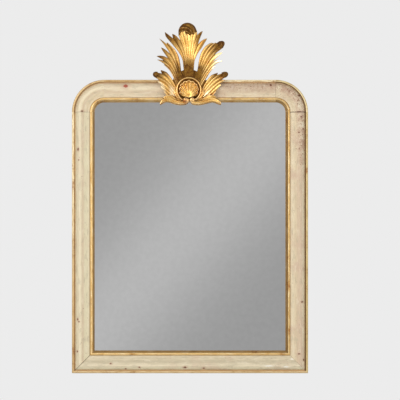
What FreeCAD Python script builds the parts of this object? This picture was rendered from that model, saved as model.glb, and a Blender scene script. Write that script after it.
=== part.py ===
import FreeCAD, Part
import math
import os

# A framed wall mirror: a painted and parcel-gilt moulding with two rounded top corner blocks, a flat
# mirror plate, a boarded back, two sunk ring hangers and a carved, gilded crest.
# Millimetres. X runs to the viewer's right, Y into the wall and Z up. The origin is on the wall, at the
# middle of the frame without its crest. Depth is the distance from the wall towards the viewer, along
# minus Y. Inset is the distance from the frame's outer edge towards the middle of the glass.

# Frame outline
FRAME_WIDTH = 775.0
FRAME_HEIGHT = 963.0
MOULDING_WIDTH = 74.0
CORNER_RADIUS = 106.0

# Layers behind the moulding, from the wall forward
BOARD_THICKNESS = 9.0
GLAZING_GAP = 7.0
GLASS_THICKNESS = 4.0

# Rebates in the back of the moulding
SLIP_SEAT = 2.0
BOARD_LEDGE = 14.0
GLASS_PLAY = 1.0
BOARD_PLAY = 1.0

# Outer gilt bead, planted on a ledge at the frame's edge
BEAD_WIDTH = 8.0
BEAD_FOOT = 4.0
BEAD_SEAT_DEPTH = 24.0

# Painted field: a quirk beside the outer bead, then a swelling that falls in a hollow to the slip
QUIRK_WIDTH = 3.0
QUIRK_DEPTH = 3.0
FIELD_RISE = 14.0
FIELD_CURVE_SHARES = ((0.0, 0.0), (0.10, 0.56), (0.30, 1.0), (0.60, 0.66), (0.84, 0.22), (1.0, 0.10))

# Gilt sight slip that holds the glass from the front
SLIP_WIDTH = 16.0
SLIP_SHOULDER = 7.0
SIGHT_BEAD_WIDTH = 9.0
SIGHT_LIP = 2.5

# Joinery of the frame
GLUE_LINE = 0.1
DOWEL_RADIUS = 4.0
DOWEL_LENGTH = 50.0
DOWEL_INSET_SHARES = (0.30, 0.64)
KEY_THICKNESS = 4.0
KEY_WIDTH = 24.0
KEY_INSET_SHARES = (0.25, 0.85)

# Glazing blocks glued behind the glass
GLAZING_BLOCK_LENGTH = 46.0
GLAZING_BLOCK_WIDTH = 9.0
GLAZING_BLOCK_CLEARANCE = 0.3
STILE_BLOCK_SHARES = (0.18, 0.50, 0.82)
RAIL_BLOCK_SHARES = (-0.27, 0.27)

# Ship-lapped backboards and their nails
BOARD_LAP = 6.0
BOARD_LAP_PLAY = 0.5
NAIL_RADIUS = 1.0
NAIL_LENGTH = 20.0
NAIL_HEAD_RADIUS = 2.5
NAIL_HEAD_THICKNESS = 1.0
NAIL_SET = 0.3
STILE_NAIL_SHARES = (0.14, 0.38, 0.62, 0.86)
RAIL_NAIL_SHARES = (-0.35, -0.21, -0.07, 0.07, 0.21, 0.35)

# Ring hangers, sunk in pockets in the backs of the stiles
HANGER_DROP = 150.0
POCKET_DEPTH = 12.0
POCKET_SIDE_ROOM = 1.5
POCKET_END_ROOM = 4.0
STRAP_WIDTH = 15.0
STRAP_LENGTH = 48.0
STRAP_THICKNESS = 1.6
KNUCKLE_WALL = 1.6
KNUCKLE_PLAY = 0.08
WIRE_RADIUS = 2.0
RING_WIDTH = 24.0
RING_BEND = 3.5
RING_DROP = 29.0
RING_FLOOR_ROOM = 4.8
HANGER_SCREW_SHARES = (0.42, 0.80)
HANGER_SCREW_LENGTH = 17.0

# Wood screws, one pattern in three lengths
SCREW_RADIUS = 1.8
SCREW_HEAD_RADIUS = 3.4
SCREW_HEAD_HEIGHT = 2.0
SCREW_PROUD = 0.6
SCREW_SLOT_WIDTH = 0.8
SCREW_SLOT_DEPTH = 0.9
SCREW_HOLE_PLAY = 0.1

# Crest box: its lower edge hangs below the frame's top edge
CREST_WIDTH = 246.0
CREST_HEIGHT = 269.0
CREST_DROP = 84.4
CREST_AXIS_SHARE = -0.015
SCRIBE_GAP = 0.2

# Crest hub, the block that the carving is built on
HUB_THICKNESS = 9.0
HUB_BACK_DEPTH = 26.0
HUB_SHARES = (
    (-0.23, 0.13, 0.04), (-0.13, 0.05, 0.02), (0.10, 0.05, 0.04), (0.21, 0.13, 0.03),
    (0.19, 0.28, 0.04), (0.09, 0.41, 0.05), (-0.12, 0.41, 0.04), (-0.21, 0.30, 0.03),
)

# Carved leaves: outlines run counter-clockwise as seen from the front, as shares of the crest's width and
# height, with each edge's outward bow as a share of its length. Flutes are lines from root towards tip.
LEAF_BACK_ROOM = 0.4
FLUTE_WIDTH = 4.4
FLUTE_DEPTH = 2.4
LEAF_BACK_SHARES = (
    (0.0, 0.0), (0.35, 0.10), (0.70, 0.24), (0.90, 0.40), (1.0, 0.66), (0.985, 0.88), (0.93, 1.0),
)
LEAF_CURL_SHARES = ((0.87, 0.95), (0.905, 0.82), (0.87, 0.67))
LEAF_FACE_SHARES = ((0.76, 0.55), (0.55, 0.45), (0.28, 0.38), (0.0, 0.36))

PLUME_REACH = 40.0
PLUME_AXIS_SHARES = ((-0.015, 0.30), (-0.03, 1.0))
PLUME_SHARES = (
    (0.055, 0.34, 0.0), (0.062, 0.52, 0.0), (0.068, 0.59, -0.06), (0.15, 0.709, 0.12), (0.231, 0.81, 0.04),
    (0.10, 0.775, 0.06), (0.176, 0.898, 0.04), (0.088, 0.86, 0.06), (0.09, 0.905, 0.16), (-0.02, 1.0, 0.16),
    (-0.155, 0.895, 0.06), (-0.158, 0.80, 0.08), (-0.235, 0.862, 0.05), (-0.262, 0.825, 0.06),
    (-0.338, 0.888, 0.10), (-0.236, 0.748, 0.02), (-0.155, 0.693, -0.08), (-0.091, 0.538, 0.0),
    (-0.08, 0.34, 0.0),
)
PLUME_FLUTE_SHARES = (
    ((-0.045, 0.43), (-0.115, 0.80)), ((-0.025, 0.42), (-0.062, 0.84)), ((-0.005, 0.42), (-0.008, 0.84)),
    ((0.018, 0.43), (0.045, 0.83)), ((-0.062, 0.46), (-0.27, 0.83)), ((0.04, 0.46), (0.18, 0.78)),
)

UPPER_LEAF_REACH = 34.0
LEFT_LEAF_AXIS_SHARES = ((-0.13, 0.33), (-0.40, 0.82))
LEFT_LEAF_SHARES = (
    (-0.10, 0.34, 0.0), (-0.112, 0.448, 0.0), (-0.172, 0.604, -0.05), (-0.308, 0.775, 0.06),
    (-0.334, 0.745, 0.10), (-0.417, 0.814, 0.08), (-0.376, 0.69, 0.04), (-0.387, 0.672, 0.05),
    (-0.325, 0.61, 0.08), (-0.449, 0.588, 0.02), (-0.364, 0.573, 0.04), (-0.44, 0.542, 0.08),
    (-0.355, 0.479, 0.06), (-0.27, 0.42, -0.10), (-0.22, 0.31, 0.0),
)
LEFT_LEAF_FLUTE_SHARES = (
    ((-0.13, 0.46), (-0.28, 0.73)), ((-0.15, 0.44), (-0.36, 0.75)), ((-0.17, 0.43), (-0.40, 0.585)),
    ((-0.18, 0.41), (-0.37, 0.515)),
)
RIGHT_LEAF_AXIS_SHARES = ((0.12, 0.31), (0.43, 0.78))
RIGHT_LEAF_SHARES = (
    (0.20, 0.28, 0.0), (0.207, 0.339, -0.10), (0.359, 0.483, 0.08), (0.44, 0.53, 0.08), (0.316, 0.561, 0.08),
    (0.44, 0.631, 0.10), (0.376, 0.65, 0.05), (0.41, 0.685, 0.04), (0.465, 0.735, 0.10), (0.435, 0.785, 0.06),
    (0.338, 0.736, 0.10), (0.316, 0.754, 0.06), (0.197, 0.693, 0.02), (0.15, 0.635, -0.04),
    (0.112, 0.46, 0.0), (0.09, 0.34, 0.0),
)
RIGHT_LEAF_FLUTE_SHARES = (
    ((0.125, 0.45), (0.27, 0.70)), ((0.145, 0.43), (0.37, 0.69)), ((0.16, 0.42), (0.38, 0.61)),
    ((0.17, 0.39), (0.37, 0.52)),
)

LOWER_LEAF_REACH = 32.0
LEFT_LOWER_AXIS_SHARES = ((-0.17, 0.23), (-0.49, 0.36))
LEFT_LOWER_SHARES = (
    (-0.16, 0.29, 0.0), (-0.227, 0.304, 0.0), (-0.295, 0.37, 0.06), (-0.393, 0.43, 0.08),
    (-0.389, 0.397, 0.04), (-0.436, 0.412, 0.06), (-0.495, 0.385, 0.10), (-0.453, 0.315, 0.06),
    (-0.44, 0.276, 0.08), (-0.402, 0.262, 0.06), (-0.398, 0.214, 0.06), (-0.33, 0.156, 0.0),
    (-0.20, 0.15, 0.0),
)
LEFT_LOWER_FLUTE_SHARES = (
    ((-0.22, 0.265), (-0.37, 0.39)), ((-0.22, 0.25), (-0.42, 0.345)), ((-0.23, 0.22), (-0.40, 0.285)),
)
RIGHT_LOWER_AXIS_SHARES = ((0.15, 0.21), (0.49, 0.36))
RIGHT_LOWER_SHARES = (
    (0.18, 0.15, 0.0), (0.339, 0.16, 0.06), (0.394, 0.206, 0.06), (0.441, 0.253, 0.06), (0.471, 0.30, 0.06),
    (0.505, 0.385, 0.10), (0.455, 0.385, 0.06), (0.373, 0.352, 0.08), (0.364, 0.397, 0.08),
    (0.25, 0.323, 0.02), (0.207, 0.27, 0.0), (0.14, 0.26, 0.0),
)
RIGHT_LOWER_FLUTE_SHARES = (
    ((0.21, 0.24), (0.35, 0.365)), ((0.22, 0.22), (0.44, 0.335)), ((0.23, 0.195), (0.40, 0.25)),
)

# Scrolled tails under the cartouche
TAIL_REACH = 15.0
LEFT_TAIL_AXIS_SHARES = ((-0.03, 0.08), (-0.43, 0.05))
LEFT_TAIL_SHARES = (
    (-0.08, 0.13, 0.0), (-0.20, 0.165, 0.0), (-0.335, 0.15, 0.08), (-0.406, 0.012, 0.10),
    (-0.312, 0.039, 0.06), (-0.142, 0.0, 0.08), (-0.012, 0.031, 0.0),
)
LEFT_TAIL_FLUTE_SHARES = (((-0.10, 0.055), (-0.33, 0.075)), ((-0.12, 0.095), (-0.32, 0.10)))
RIGHT_TAIL_AXIS_SHARES = ((0.0, 0.08), (0.43, 0.06))
RIGHT_TAIL_SHARES = (
    (-0.010, 0.031, 0.08), (0.139, 0.0, 0.06), (0.326, 0.027, 0.08), (0.41, 0.02, 0.10), (0.342, 0.15, 0.0),
    (0.18, 0.165, 0.0), (0.06, 0.13, 0.0),
)
RIGHT_TAIL_FLUTE_SHARES = (((0.07, 0.055), (0.33, 0.08)), ((0.10, 0.095), (0.32, 0.105)))

# Cartouche: an open ring round a fluted shell, with two volutes at its foot
RING_CENTRE_SHARES = (-0.015, 0.187)
RING_OUTER_RADIUS = 43.0
RING_BAND_WIDTH = 8.0
RING_BAND_RISE = 9.0
RING_MOUTH_ANGLE = 70.0
SHELL_ROOM = 1.5
SHELL_RIB_COUNT = 7
SHELL_SPREAD_ANGLE = 216.0
SHELL_RIB_RADIUS = 8.0
SHELL_HINGE_RADIUS = 3.0
SHELL_HINGE_DROP = 18.0
SHELL_RISE = 4.0
VOLUTE_RADIUS = 10.0
VOLUTE_RISE = 11.0
VOLUTE_EYE_RADIUS = 4.0
VOLUTE_EYE_RISE = 2.5
VOLUTE_ROUNDING = 3.0
LEFT_VOLUTE_SHARES = (-0.060, 0.066)
RIGHT_VOLUTE_SHARES = (0.034, 0.066)

# Batten and packing block that hold the crest upright from behind
BATTEN_WIDTH = 28.0
BATTEN_THICKNESS = 12.0
BATTEN_RISE = 92.0
BATTEN_END_ROOM = 1.0
BATTEN_SCREW_LENGTH = 29.0
BATTEN_SCREW_SHARES = (0.28, 0.74)
PACKING_WIDTH = 22.0
PACKING_HEIGHT = 40.0
PACKING_TOP_ROOM = 4.0
HUB_SCREW_SPREAD = 30.0
HUB_SCREW_INSET = 30.0
HUB_SCREW_SINK = 8.0
HUB_SCREW_END_ROOM = 2.0
PLUME_SCREW_SINK = 1.0
PLUME_SCREW_BITE = 7.0

# Every cutting shape runs this far past what it cuts
OVERRUN = 2.0

# Places that follow from the sizes above
HALF_WIDTH = FRAME_WIDTH / 2
HALF_HEIGHT = FRAME_HEIGHT / 2
STILE_LENGTH = FRAME_HEIGHT - CORNER_RADIUS
RAIL_LENGTH = FRAME_WIDTH - 2 * CORNER_RADIUS
STILE_TOP = HALF_HEIGHT - CORNER_RADIUS
GLASS_BACK = BOARD_THICKNESS + GLAZING_GAP
GLASS_FRONT = GLASS_BACK + GLASS_THICKNESS
SLIP_INSET = MOULDING_WIDTH - SLIP_WIDTH
GLASS_WALL = SLIP_INSET + SLIP_SEAT
BOARD_WALL = GLASS_WALL - BOARD_LEDGE
FIELD_INSET = BEAD_WIDTH + QUIRK_WIDTH
FIELD_FOOT = BEAD_SEAT_DEPTH + QUIRK_DEPTH
FIELD_CROWN = FIELD_FOOT + FIELD_RISE
JOINERY_DEPTH = (BOARD_THICKNESS + GLASS_FRONT) / 2
NAIL_INSET = BOARD_WALL + BOARD_LEDGE / 2
CREST_AXIS = CREST_AXIS_SHARE * CREST_WIDTH
CREST_FOOT = HALF_HEIGHT - CREST_DROP
HUB_FRONT = FIELD_CROWN + HUB_THICKNESS
LEAF_BACK = FIELD_CROWN + LEAF_BACK_ROOM


def point(x, depth, z):
    return FreeCAD.Vector(x, -depth, z)


def box(x_range, depth_range, z_range):
    (x0, x1), (d0, d1), (z0, z1) = x_range, depth_range, z_range
    return Part.makeBox(x1 - x0, d1 - d0, z1 - z0, point(x0, d1, z0))


def line(start, end):
    return Part.LineSegment(start, end).toShape()


def chain(points):
    return [line(a, b) for a, b in zip(points, points[1:])]


def curve(points):
    spline = Part.BSplineCurve()
    spline.interpolate(points)
    return spline.toShape()


def rod(x, z, stages):
    """Coaxial cylinders along the depth: each stage is a radius and the depths of its two ends."""
    forward = FreeCAD.Vector(0, -1, 0)
    parts = [Part.makeCylinder(r, d1 - d0, point(x, d0, z), forward) for r, d0, d1 in stages]
    return parts[0].multiFuse(parts[1:]) if len(parts) > 1 else parts[0]


def mirrored(shape):
    return shape.mirror(FreeCAD.Vector(0, 0, 0), FreeCAD.Vector(1, 0, 0))


def cut_all(shape, tools):
    for tool in tools:
        shape = shape.cut(tool)
    return shape


# Moulding sections, drawn with the inset along X
def core_face():
    width = SLIP_INSET - FIELD_INSET
    field = [point(FIELD_INSET + s * width, FIELD_FOOT + r * FIELD_RISE, 0) for s, r in FIELD_CURVE_SHARES]
    back = [
        field[-1], point(SLIP_INSET, GLASS_FRONT, 0), point(GLASS_WALL, GLASS_FRONT, 0),
        point(GLASS_WALL, 0, 0), point(0, 0, 0), point(0, BEAD_SEAT_DEPTH, 0),
        point(FIELD_INSET, BEAD_SEAT_DEPTH, 0), field[0],
    ]
    return Part.Face(Part.Wire(chain(back) + [curve(field)]))


def bead_face():
    spring = BEAD_SEAT_DEPTH + BEAD_FOOT
    radius = BEAD_WIDTH / 2
    foot = [point(BEAD_WIDTH, spring, 0), point(BEAD_WIDTH, BEAD_SEAT_DEPTH, 0),
            point(0, BEAD_SEAT_DEPTH, 0), point(0, spring, 0)]
    top = Part.Arc(foot[-1], point(radius, spring + radius, 0), foot[0]).toShape()
    return Part.Face(Part.Wire(chain(foot) + [top]))


def slip_face():
    spring = GLASS_FRONT + SLIP_SHOULDER
    radius = SIGHT_BEAD_WIDTH / 2
    bead_end = SLIP_INSET + SIGHT_BEAD_WIDTH
    body = [
        point(bead_end, spring, 0), point(MOULDING_WIDTH, GLASS_FRONT + SIGHT_LIP, 0),
        point(MOULDING_WIDTH, GLASS_FRONT, 0), point(SLIP_INSET, GLASS_FRONT, 0),
        point(SLIP_INSET, spring, 0),
    ]
    top = Part.Arc(body[-1], point(SLIP_INSET + radius, spring + radius, 0), body[0]).toShape()
    return Part.Face(Part.Wire(chain(body) + [top]))


# Lengths of moulding
def mitre_waste(corner):
    """Half of the square at the bottom left corner, past the diagonal: what a mitred end loses."""
    near = -OVERRUN
    far = MOULDING_WIDTH + OVERRUN
    turns = {"stile": (far, near), "rail": (near, far)}
    outline = [(near, near), (far, far), turns[corner], (near, near)]
    corners = [point(u - HALF_WIDTH, -OVERRUN, v - HALF_HEIGHT) for u, v in outline]
    face = Part.Face(Part.Wire(chain(corners)))
    return face.extrude(point(0, FIELD_CROWN + 2 * OVERRUN, 0))


def straight(face, length, turn, start):
    stick = face.extrude(FreeCAD.Vector(0, 0, length))
    stick.rotate(FreeCAD.Vector(0, 0, 0), FreeCAD.Vector(0, 1, 0), turn)
    stick.translate(start)
    return stick


def moulding_set(face):
    """The six lengths of one section: four straight ones and the two rounded top corners."""
    left = straight(face, STILE_LENGTH, 0, point(-HALF_WIDTH, 0, -HALF_HEIGHT)).cut(mitre_waste("stile"))
    bottom = straight(face, FRAME_WIDTH, -90, point(HALF_WIDTH, 0, -HALF_HEIGHT))
    bottom = cut_all(bottom, [mitre_waste("rail"), mirrored(mitre_waste("rail"))])
    top = straight(face, RAIL_LENGTH, 90, point(CORNER_RADIUS - HALF_WIDTH, 0, HALF_HEIGHT))
    corner = face.revolve(FreeCAD.Vector(CORNER_RADIUS, 0, 0), FreeCAD.Vector(0, 1, 0), 90)
    corner.translate(point(-HALF_WIDTH, 0, STILE_TOP))
    return {
        "top": top, "bottom": bottom, "left": left, "right": mirrored(left),
        "left_corner": corner, "right_corner": mirrored(corner),
    }


def rebate_space(wall, depth):
    half_x = HALF_WIDTH - wall
    half_z = HALF_HEIGHT - wall
    return box((-half_x, half_x), (-OVERRUN, depth), (-half_z, half_z))


# Joinery
def dowel_at(inset, along_stile, radius, length):
    """A dowel of the top left corner block, across its joint with the stile or with the top rail."""
    if along_stile:
        start = point(inset - HALF_WIDTH, JOINERY_DEPTH, STILE_TOP - length / 2)
        return Part.makeCylinder(radius, length, start, FreeCAD.Vector(0, 0, 1))
    start = point(CORNER_RADIUS - HALF_WIDTH - length / 2, JOINERY_DEPTH, HALF_HEIGHT - inset)
    return Part.makeCylinder(radius, length, start, FreeCAD.Vector(1, 0, 0))


def dowels(clearance):
    radius = DOWEL_RADIUS + clearance
    length = DOWEL_LENGTH + 2 * clearance
    insets = [share * GLASS_WALL for share in DOWEL_INSET_SHARES]
    left = [dowel_at(inset, way, radius, length) for inset in insets for way in (True, False)]
    return left + [mirrored(dowel) for dowel in left]


def mitre_keys(clearance):
    """Loose tongues across the two bottom mitres."""
    near, far = [share * BOARD_WALL * math.sqrt(2) for share in KEY_INSET_SHARES]
    half_width = KEY_WIDTH / 2 + clearance
    half_thick = KEY_THICKNESS / 2 + clearance
    key = box((near - clearance, far + clearance), (-half_thick, half_thick), (-half_width, half_width))
    key.rotate(FreeCAD.Vector(0, 0, 0), FreeCAD.Vector(0, 1, 0), -45)
    key.translate(point(-HALF_WIDTH, JOINERY_DEPTH, -HALF_HEIGHT))
    return [key, mirrored(key)]


# Nails and screws
def nail_places():
    stile = [(NAIL_INSET - HALF_WIDTH, s * STILE_LENGTH - HALF_HEIGHT) for s in STILE_NAIL_SHARES]
    half_z = HALF_HEIGHT - NAIL_INSET
    rails = [(s * FRAME_WIDTH, side * half_z) for s in RAIL_NAIL_SHARES for side in (-1, 1)]
    return stile + [(-x, z) for x, z in stile] + rails


def nail(x, z):
    neck = NAIL_SET + NAIL_HEAD_THICKNESS
    return rod(x, z, [(NAIL_HEAD_RADIUS, NAIL_SET, neck), (NAIL_RADIUS, neck, NAIL_SET + NAIL_LENGTH)])


def nail_hole(x, z):
    neck = NAIL_SET + NAIL_HEAD_THICKNESS
    end = NAIL_SET + NAIL_LENGTH + GLUE_LINE
    return rod(x, z, [(NAIL_HEAD_RADIUS + GLUE_LINE, -OVERRUN, neck), (NAIL_RADIUS + GLUE_LINE, neck, end)])


def screw(x, z, head_depth, length):
    """A countersunk screw driven from behind: a slotted domed head, its cone and a plain shank."""
    cone_start = head_depth + SCREW_PROUD
    forward = FreeCAD.Vector(0, -1, 0)
    base = point(x, cone_start, z)
    cone = Part.makeCone(SCREW_HEAD_RADIUS, SCREW_RADIUS, SCREW_HEAD_HEIGHT, base, forward)
    shank_start = cone_start + SCREW_HEAD_HEIGHT
    shank = (SCREW_RADIUS, shank_start, head_depth + length)
    body = rod(x, z, [(SCREW_HEAD_RADIUS, head_depth, cone_start), shank])
    half_slot = SCREW_SLOT_WIDTH / 2
    reach = SCREW_HEAD_RADIUS + OVERRUN
    slot = box((x - reach, x + reach), (head_depth - OVERRUN, head_depth + SCREW_SLOT_DEPTH),
               (z - half_slot, z + half_slot))
    return body.fuse(cone).cut(slot)


def screw_hole(x, z, head_depth, length, open_from):
    """Room for a screw: a sink for its head from an open face, the cone's seat and the shank's bore."""
    wide = SCREW_HEAD_RADIUS + SCREW_HOLE_PLAY
    narrow = SCREW_RADIUS + SCREW_HOLE_PLAY
    cone_start = head_depth + SCREW_PROUD + SCREW_HOLE_PLAY
    cone = Part.makeCone(wide, narrow, SCREW_HEAD_HEIGHT, point(x, cone_start, z), FreeCAD.Vector(0, -1, 0))
    end = head_depth + length + SCREW_HOLE_PLAY
    return rod(x, z, [(wide, open_from, cone_start), (narrow, cone_start, end)]).fuse(cone)


# Ring hangers
POCKET_X = BOARD_WALL / 2 - HALF_WIDTH
PIVOT_Z = STILE_TOP - HANGER_DROP
PIVOT_DEPTH = POCKET_DEPTH - RING_FLOOR_ROOM
KNUCKLE_BORE = WIRE_RADIUS + KNUCKLE_PLAY
KNUCKLE_RADIUS = KNUCKLE_BORE + KNUCKLE_WALL
STRAP_BACK = POCKET_DEPTH - STRAP_THICKNESS
HANGER_SCREW_HEAD = STRAP_BACK - SCREW_PROUD


def hanger_pocket():
    half = RING_WIDTH / 2 + WIRE_RADIUS + POCKET_SIDE_ROOM
    low = PIVOT_Z - STRAP_LENGTH - POCKET_END_ROOM
    high = PIVOT_Z + RING_DROP + WIRE_RADIUS + POCKET_END_ROOM
    return box((POCKET_X - half, POCKET_X + half), (-OVERRUN, POCKET_DEPTH), (low, high))


def hanger_screw_places():
    return [(POCKET_X, PIVOT_Z - share * STRAP_LENGTH) for share in HANGER_SCREW_SHARES]


def hanger_strap():
    half = STRAP_WIDTH / 2
    across = FreeCAD.Vector(1, 0, 0)
    pivot = point(POCKET_X - half, PIVOT_DEPTH, PIVOT_Z)
    plate = box((POCKET_X - half, POCKET_X + half), (STRAP_BACK, POCKET_DEPTH),
                (PIVOT_Z - STRAP_LENGTH, PIVOT_Z))
    strap = plate.fuse(Part.makeCylinder(KNUCKLE_RADIUS, STRAP_WIDTH, pivot, across))
    bore = point(POCKET_X - half - OVERRUN, PIVOT_DEPTH, PIVOT_Z)
    strap = strap.cut(Part.makeCylinder(KNUCKLE_BORE, STRAP_WIDTH + 2 * OVERRUN, bore, across))
    holes = [screw_hole(x, z, HANGER_SCREW_HEAD, HANGER_SCREW_LENGTH, 0) for x, z in hanger_screw_places()]
    return cut_all(strap, holes)


def hanger_ring():
    """A bent wire loop: a straight bar through the knuckle, two arms and a round bottom."""
    half = RING_WIDTH / 2
    arm_end = RING_DROP - half
    up = FreeCAD.Vector(0, 0, 1)
    across = FreeCAD.Vector(1, 0, 0)
    outward = FreeCAD.Vector(0, 1, 0)
    bar_half = half - RING_BEND
    pieces = [Part.makeCylinder(WIRE_RADIUS, 2 * bar_half, FreeCAD.Vector(-bar_half, 0, 0), across)]
    for side in (-1, 1):
        foot = FreeCAD.Vector(side * half, 0, -arm_end)
        pieces.append(Part.makeCylinder(WIRE_RADIUS, arm_end - RING_BEND, foot, up))
        bend = FreeCAD.Vector(side * bar_half, 0, 0)
        disc = Part.Face(Part.Wire(Part.makeCircle(WIRE_RADIUS, bend, across)))
        pieces.append(disc.revolve(FreeCAD.Vector(side * bar_half, 0, -RING_BEND), outward, side * 90))
    disc = Part.Face(Part.Wire(Part.makeCircle(WIRE_RADIUS, FreeCAD.Vector(half, 0, -arm_end), up)))
    pieces.append(disc.revolve(FreeCAD.Vector(0, 0, -arm_end), outward, 180))
    ring = pieces[0].multiFuse(pieces[1:]).removeSplitter()
    ring.translate(point(POCKET_X, PIVOT_DEPTH, PIVOT_Z))
    return ring


# Boarded back
def backboards():
    half = HALF_WIDTH - BOARD_WALL - BOARD_PLAY
    high = HALF_HEIGHT - BOARD_WALL - BOARD_PLAY
    joint = half / 3
    lap = BOARD_LAP / 2
    tall = (-high, high)
    back_half = (0, BOARD_THICKNESS / 2)
    front_half = (BOARD_THICKNESS / 2, BOARD_THICKNESS)
    wide = joint + lap
    narrow = joint - lap - BOARD_LAP_PLAY
    centre = box((-wide, wide), back_half, tall).fuse(box((-narrow, narrow), front_half, tall))
    left = box((-half, -wide - BOARD_LAP_PLAY), back_half, tall)
    left = left.fuse(box((-half, lap - joint), front_half, tall))
    return {
        "backboard_centre": centre.removeSplitter(), "backboard_left": left.removeSplitter(),
        "backboard_right": mirrored(left.removeSplitter()),
    }


def glazing_blocks():
    """Three-cornered blocks in the angle between the glass and the rebate wall."""
    wall = GLASS_WALL - HALF_WIDTH
    back = GLASS_BACK
    front = BOARD_THICKNESS + GLAZING_BLOCK_CLEARANCE
    outline = [point(wall, back, 0), point(wall + GLAZING_BLOCK_WIDTH, back, 0), point(wall, front, 0),
               point(wall, back, 0)]
    stick = Part.Face(Part.Wire(chain(outline))).extrude(FreeCAD.Vector(0, 0, GLAZING_BLOCK_LENGTH))
    blocks = []
    for share in STILE_BLOCK_SHARES:
        block = stick.copy()
        block.translate(FreeCAD.Vector(0, 0, share * STILE_LENGTH - HALF_HEIGHT - GLAZING_BLOCK_LENGTH / 2))
        blocks += [block, mirrored(block)]
    for turn, edge in ((90, HALF_HEIGHT), (-90, -HALF_HEIGHT)):
        for share in RAIL_BLOCK_SHARES:
            block = stick.copy()
            block.translate(FreeCAD.Vector(HALF_WIDTH, 0, -GLAZING_BLOCK_LENGTH / 2))
            block.rotate(FreeCAD.Vector(0, 0, 0), FreeCAD.Vector(0, 1, 0), turn)
            block.translate(FreeCAD.Vector(share * FRAME_WIDTH, 0, edge))
            blocks.append(block)
    return blocks


# Crest carving
def crest_place(x_share, z_share):
    return x_share * CREST_WIDTH, CREST_FOOT + z_share * CREST_HEIGHT


def bowed_edge(start, end, bow):
    (x0, z0), (x1, z1) = start, end
    a, b = point(x0, 0, z0), point(x1, 0, z1)
    if bow == 0:
        return line(a, b)
    middle = point((x0 + x1) / 2 + bow * (z1 - z0), 0, (z0 + z1) / 2 - bow * (x1 - x0))
    return Part.Arc(a, middle, b).toShape()


def crest_prism(shares, back, front):
    """An outline of bowed edges, given a thickness between two depths."""
    places = [crest_place(x, z) for x, z, bow in shares]
    edges = [bowed_edge(places[i - 1], places[i], shares[i - 1][2]) for i in range(1, len(places))]
    edges.append(bowed_edge(places[-1], places[0], shares[-1][2]))
    solid = Part.Face(Part.Wire(edges)).extrude(point(0, front - back, 0))
    solid.translate(point(0, back, 0))
    return solid


def aim(shape, axis_shares):
    """Turn a shape built up the Z axis so that it runs from the root of a leaf to its tip."""
    (x0, z0), (x1, z1) = [crest_place(x, z) for x, z in axis_shares]
    turn = math.degrees(math.atan2(x1 - x0, z1 - z0))
    shape.rotate(FreeCAD.Vector(0, 0, 0), FreeCAD.Vector(0, 1, 0), turn)
    shape.translate(FreeCAD.Vector(x0, 0, z0))
    return shape


def axis_length(axis_shares):
    (x0, z0), (x1, z1) = [crest_place(x, z) for x, z in axis_shares]
    return math.hypot(x1 - x0, z1 - z0)


def leaf_sheet(axis_shares, reach):
    """A curved sheet of wood: its side view leans forward and curls over at the tip."""
    length = axis_length(axis_shares)
    back = [point(-CREST_WIDTH, LEAF_BACK + d * reach, v * length) for v, d in LEAF_BACK_SHARES]
    front_shares = LEAF_CURL_SHARES + LEAF_FACE_SHARES
    front = [point(-CREST_WIDTH, LEAF_BACK + d * reach, v * length) for v, d in front_shares]
    edges = [curve(back), line(back[-1], front[0]), curve(front), line(front[-1], back[0])]
    sheet = Part.Face(Part.Wire(edges)).extrude(FreeCAD.Vector(2 * CREST_WIDTH, 0, 0))
    return aim(sheet, axis_shares)


def leaf_skin(axis_shares, reach):
    """The layer just under the leaf's front, as deep as its flutes and open to the front."""
    length = axis_length(axis_shares)
    side = -CREST_WIDTH
    floor = [point(side, LEAF_BACK + d * reach - FLUTE_DEPTH, v * length) for v, d in LEAF_FACE_SHARES]
    outer = LEAF_BACK + reach + OVERRUN
    lid = [floor[-1], point(side, outer, floor[-1].z), point(side, outer, floor[0].z), floor[0]]
    skin = Part.Face(Part.Wire([curve(floor)] + chain(lid))).extrude(FreeCAD.Vector(2 * CREST_WIDTH, 0, 0))
    return aim(skin, axis_shares)


def flute(ends, skin):
    """A lens-shaped groove between two places, sunk into the skin of a leaf."""
    (x0, z0), (x1, z1) = [crest_place(x, z) for x, z in ends]
    bow = FLUTE_WIDTH / 2 / math.hypot(x1 - x0, z1 - z0)
    edges = [bowed_edge((x0, z0), (x1, z1), bow), bowed_edge((x1, z1), (x0, z0), bow)]
    lens = Part.Face(Part.Wire(edges)).extrude(point(0, HUB_FRONT + PLUME_REACH, 0))
    return lens.common(skin)


def leaf(shares, axis_shares, reach, flute_shares):
    prism = crest_prism(shares, LEAF_BACK - OVERRUN, LEAF_BACK + reach + OVERRUN)
    solid = prism.common(leaf_sheet(axis_shares, reach))
    skin = leaf_skin(axis_shares, reach)
    return cut_all(solid, [flute(ends, skin) for ends in flute_shares])


def largest(shape):
    return max(shape.Solids, key=lambda solid: solid.Volume)


def scribe_tool(*mouldings):
    """The moulding that the crest is fitted over, moved forward by the fitting gap."""
    tools = []
    for moulding in mouldings:
        tool = moulding.copy()
        tool.translate(point(0, SCRIBE_GAP, 0))
        tools.append(tool)
    return tools


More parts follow.
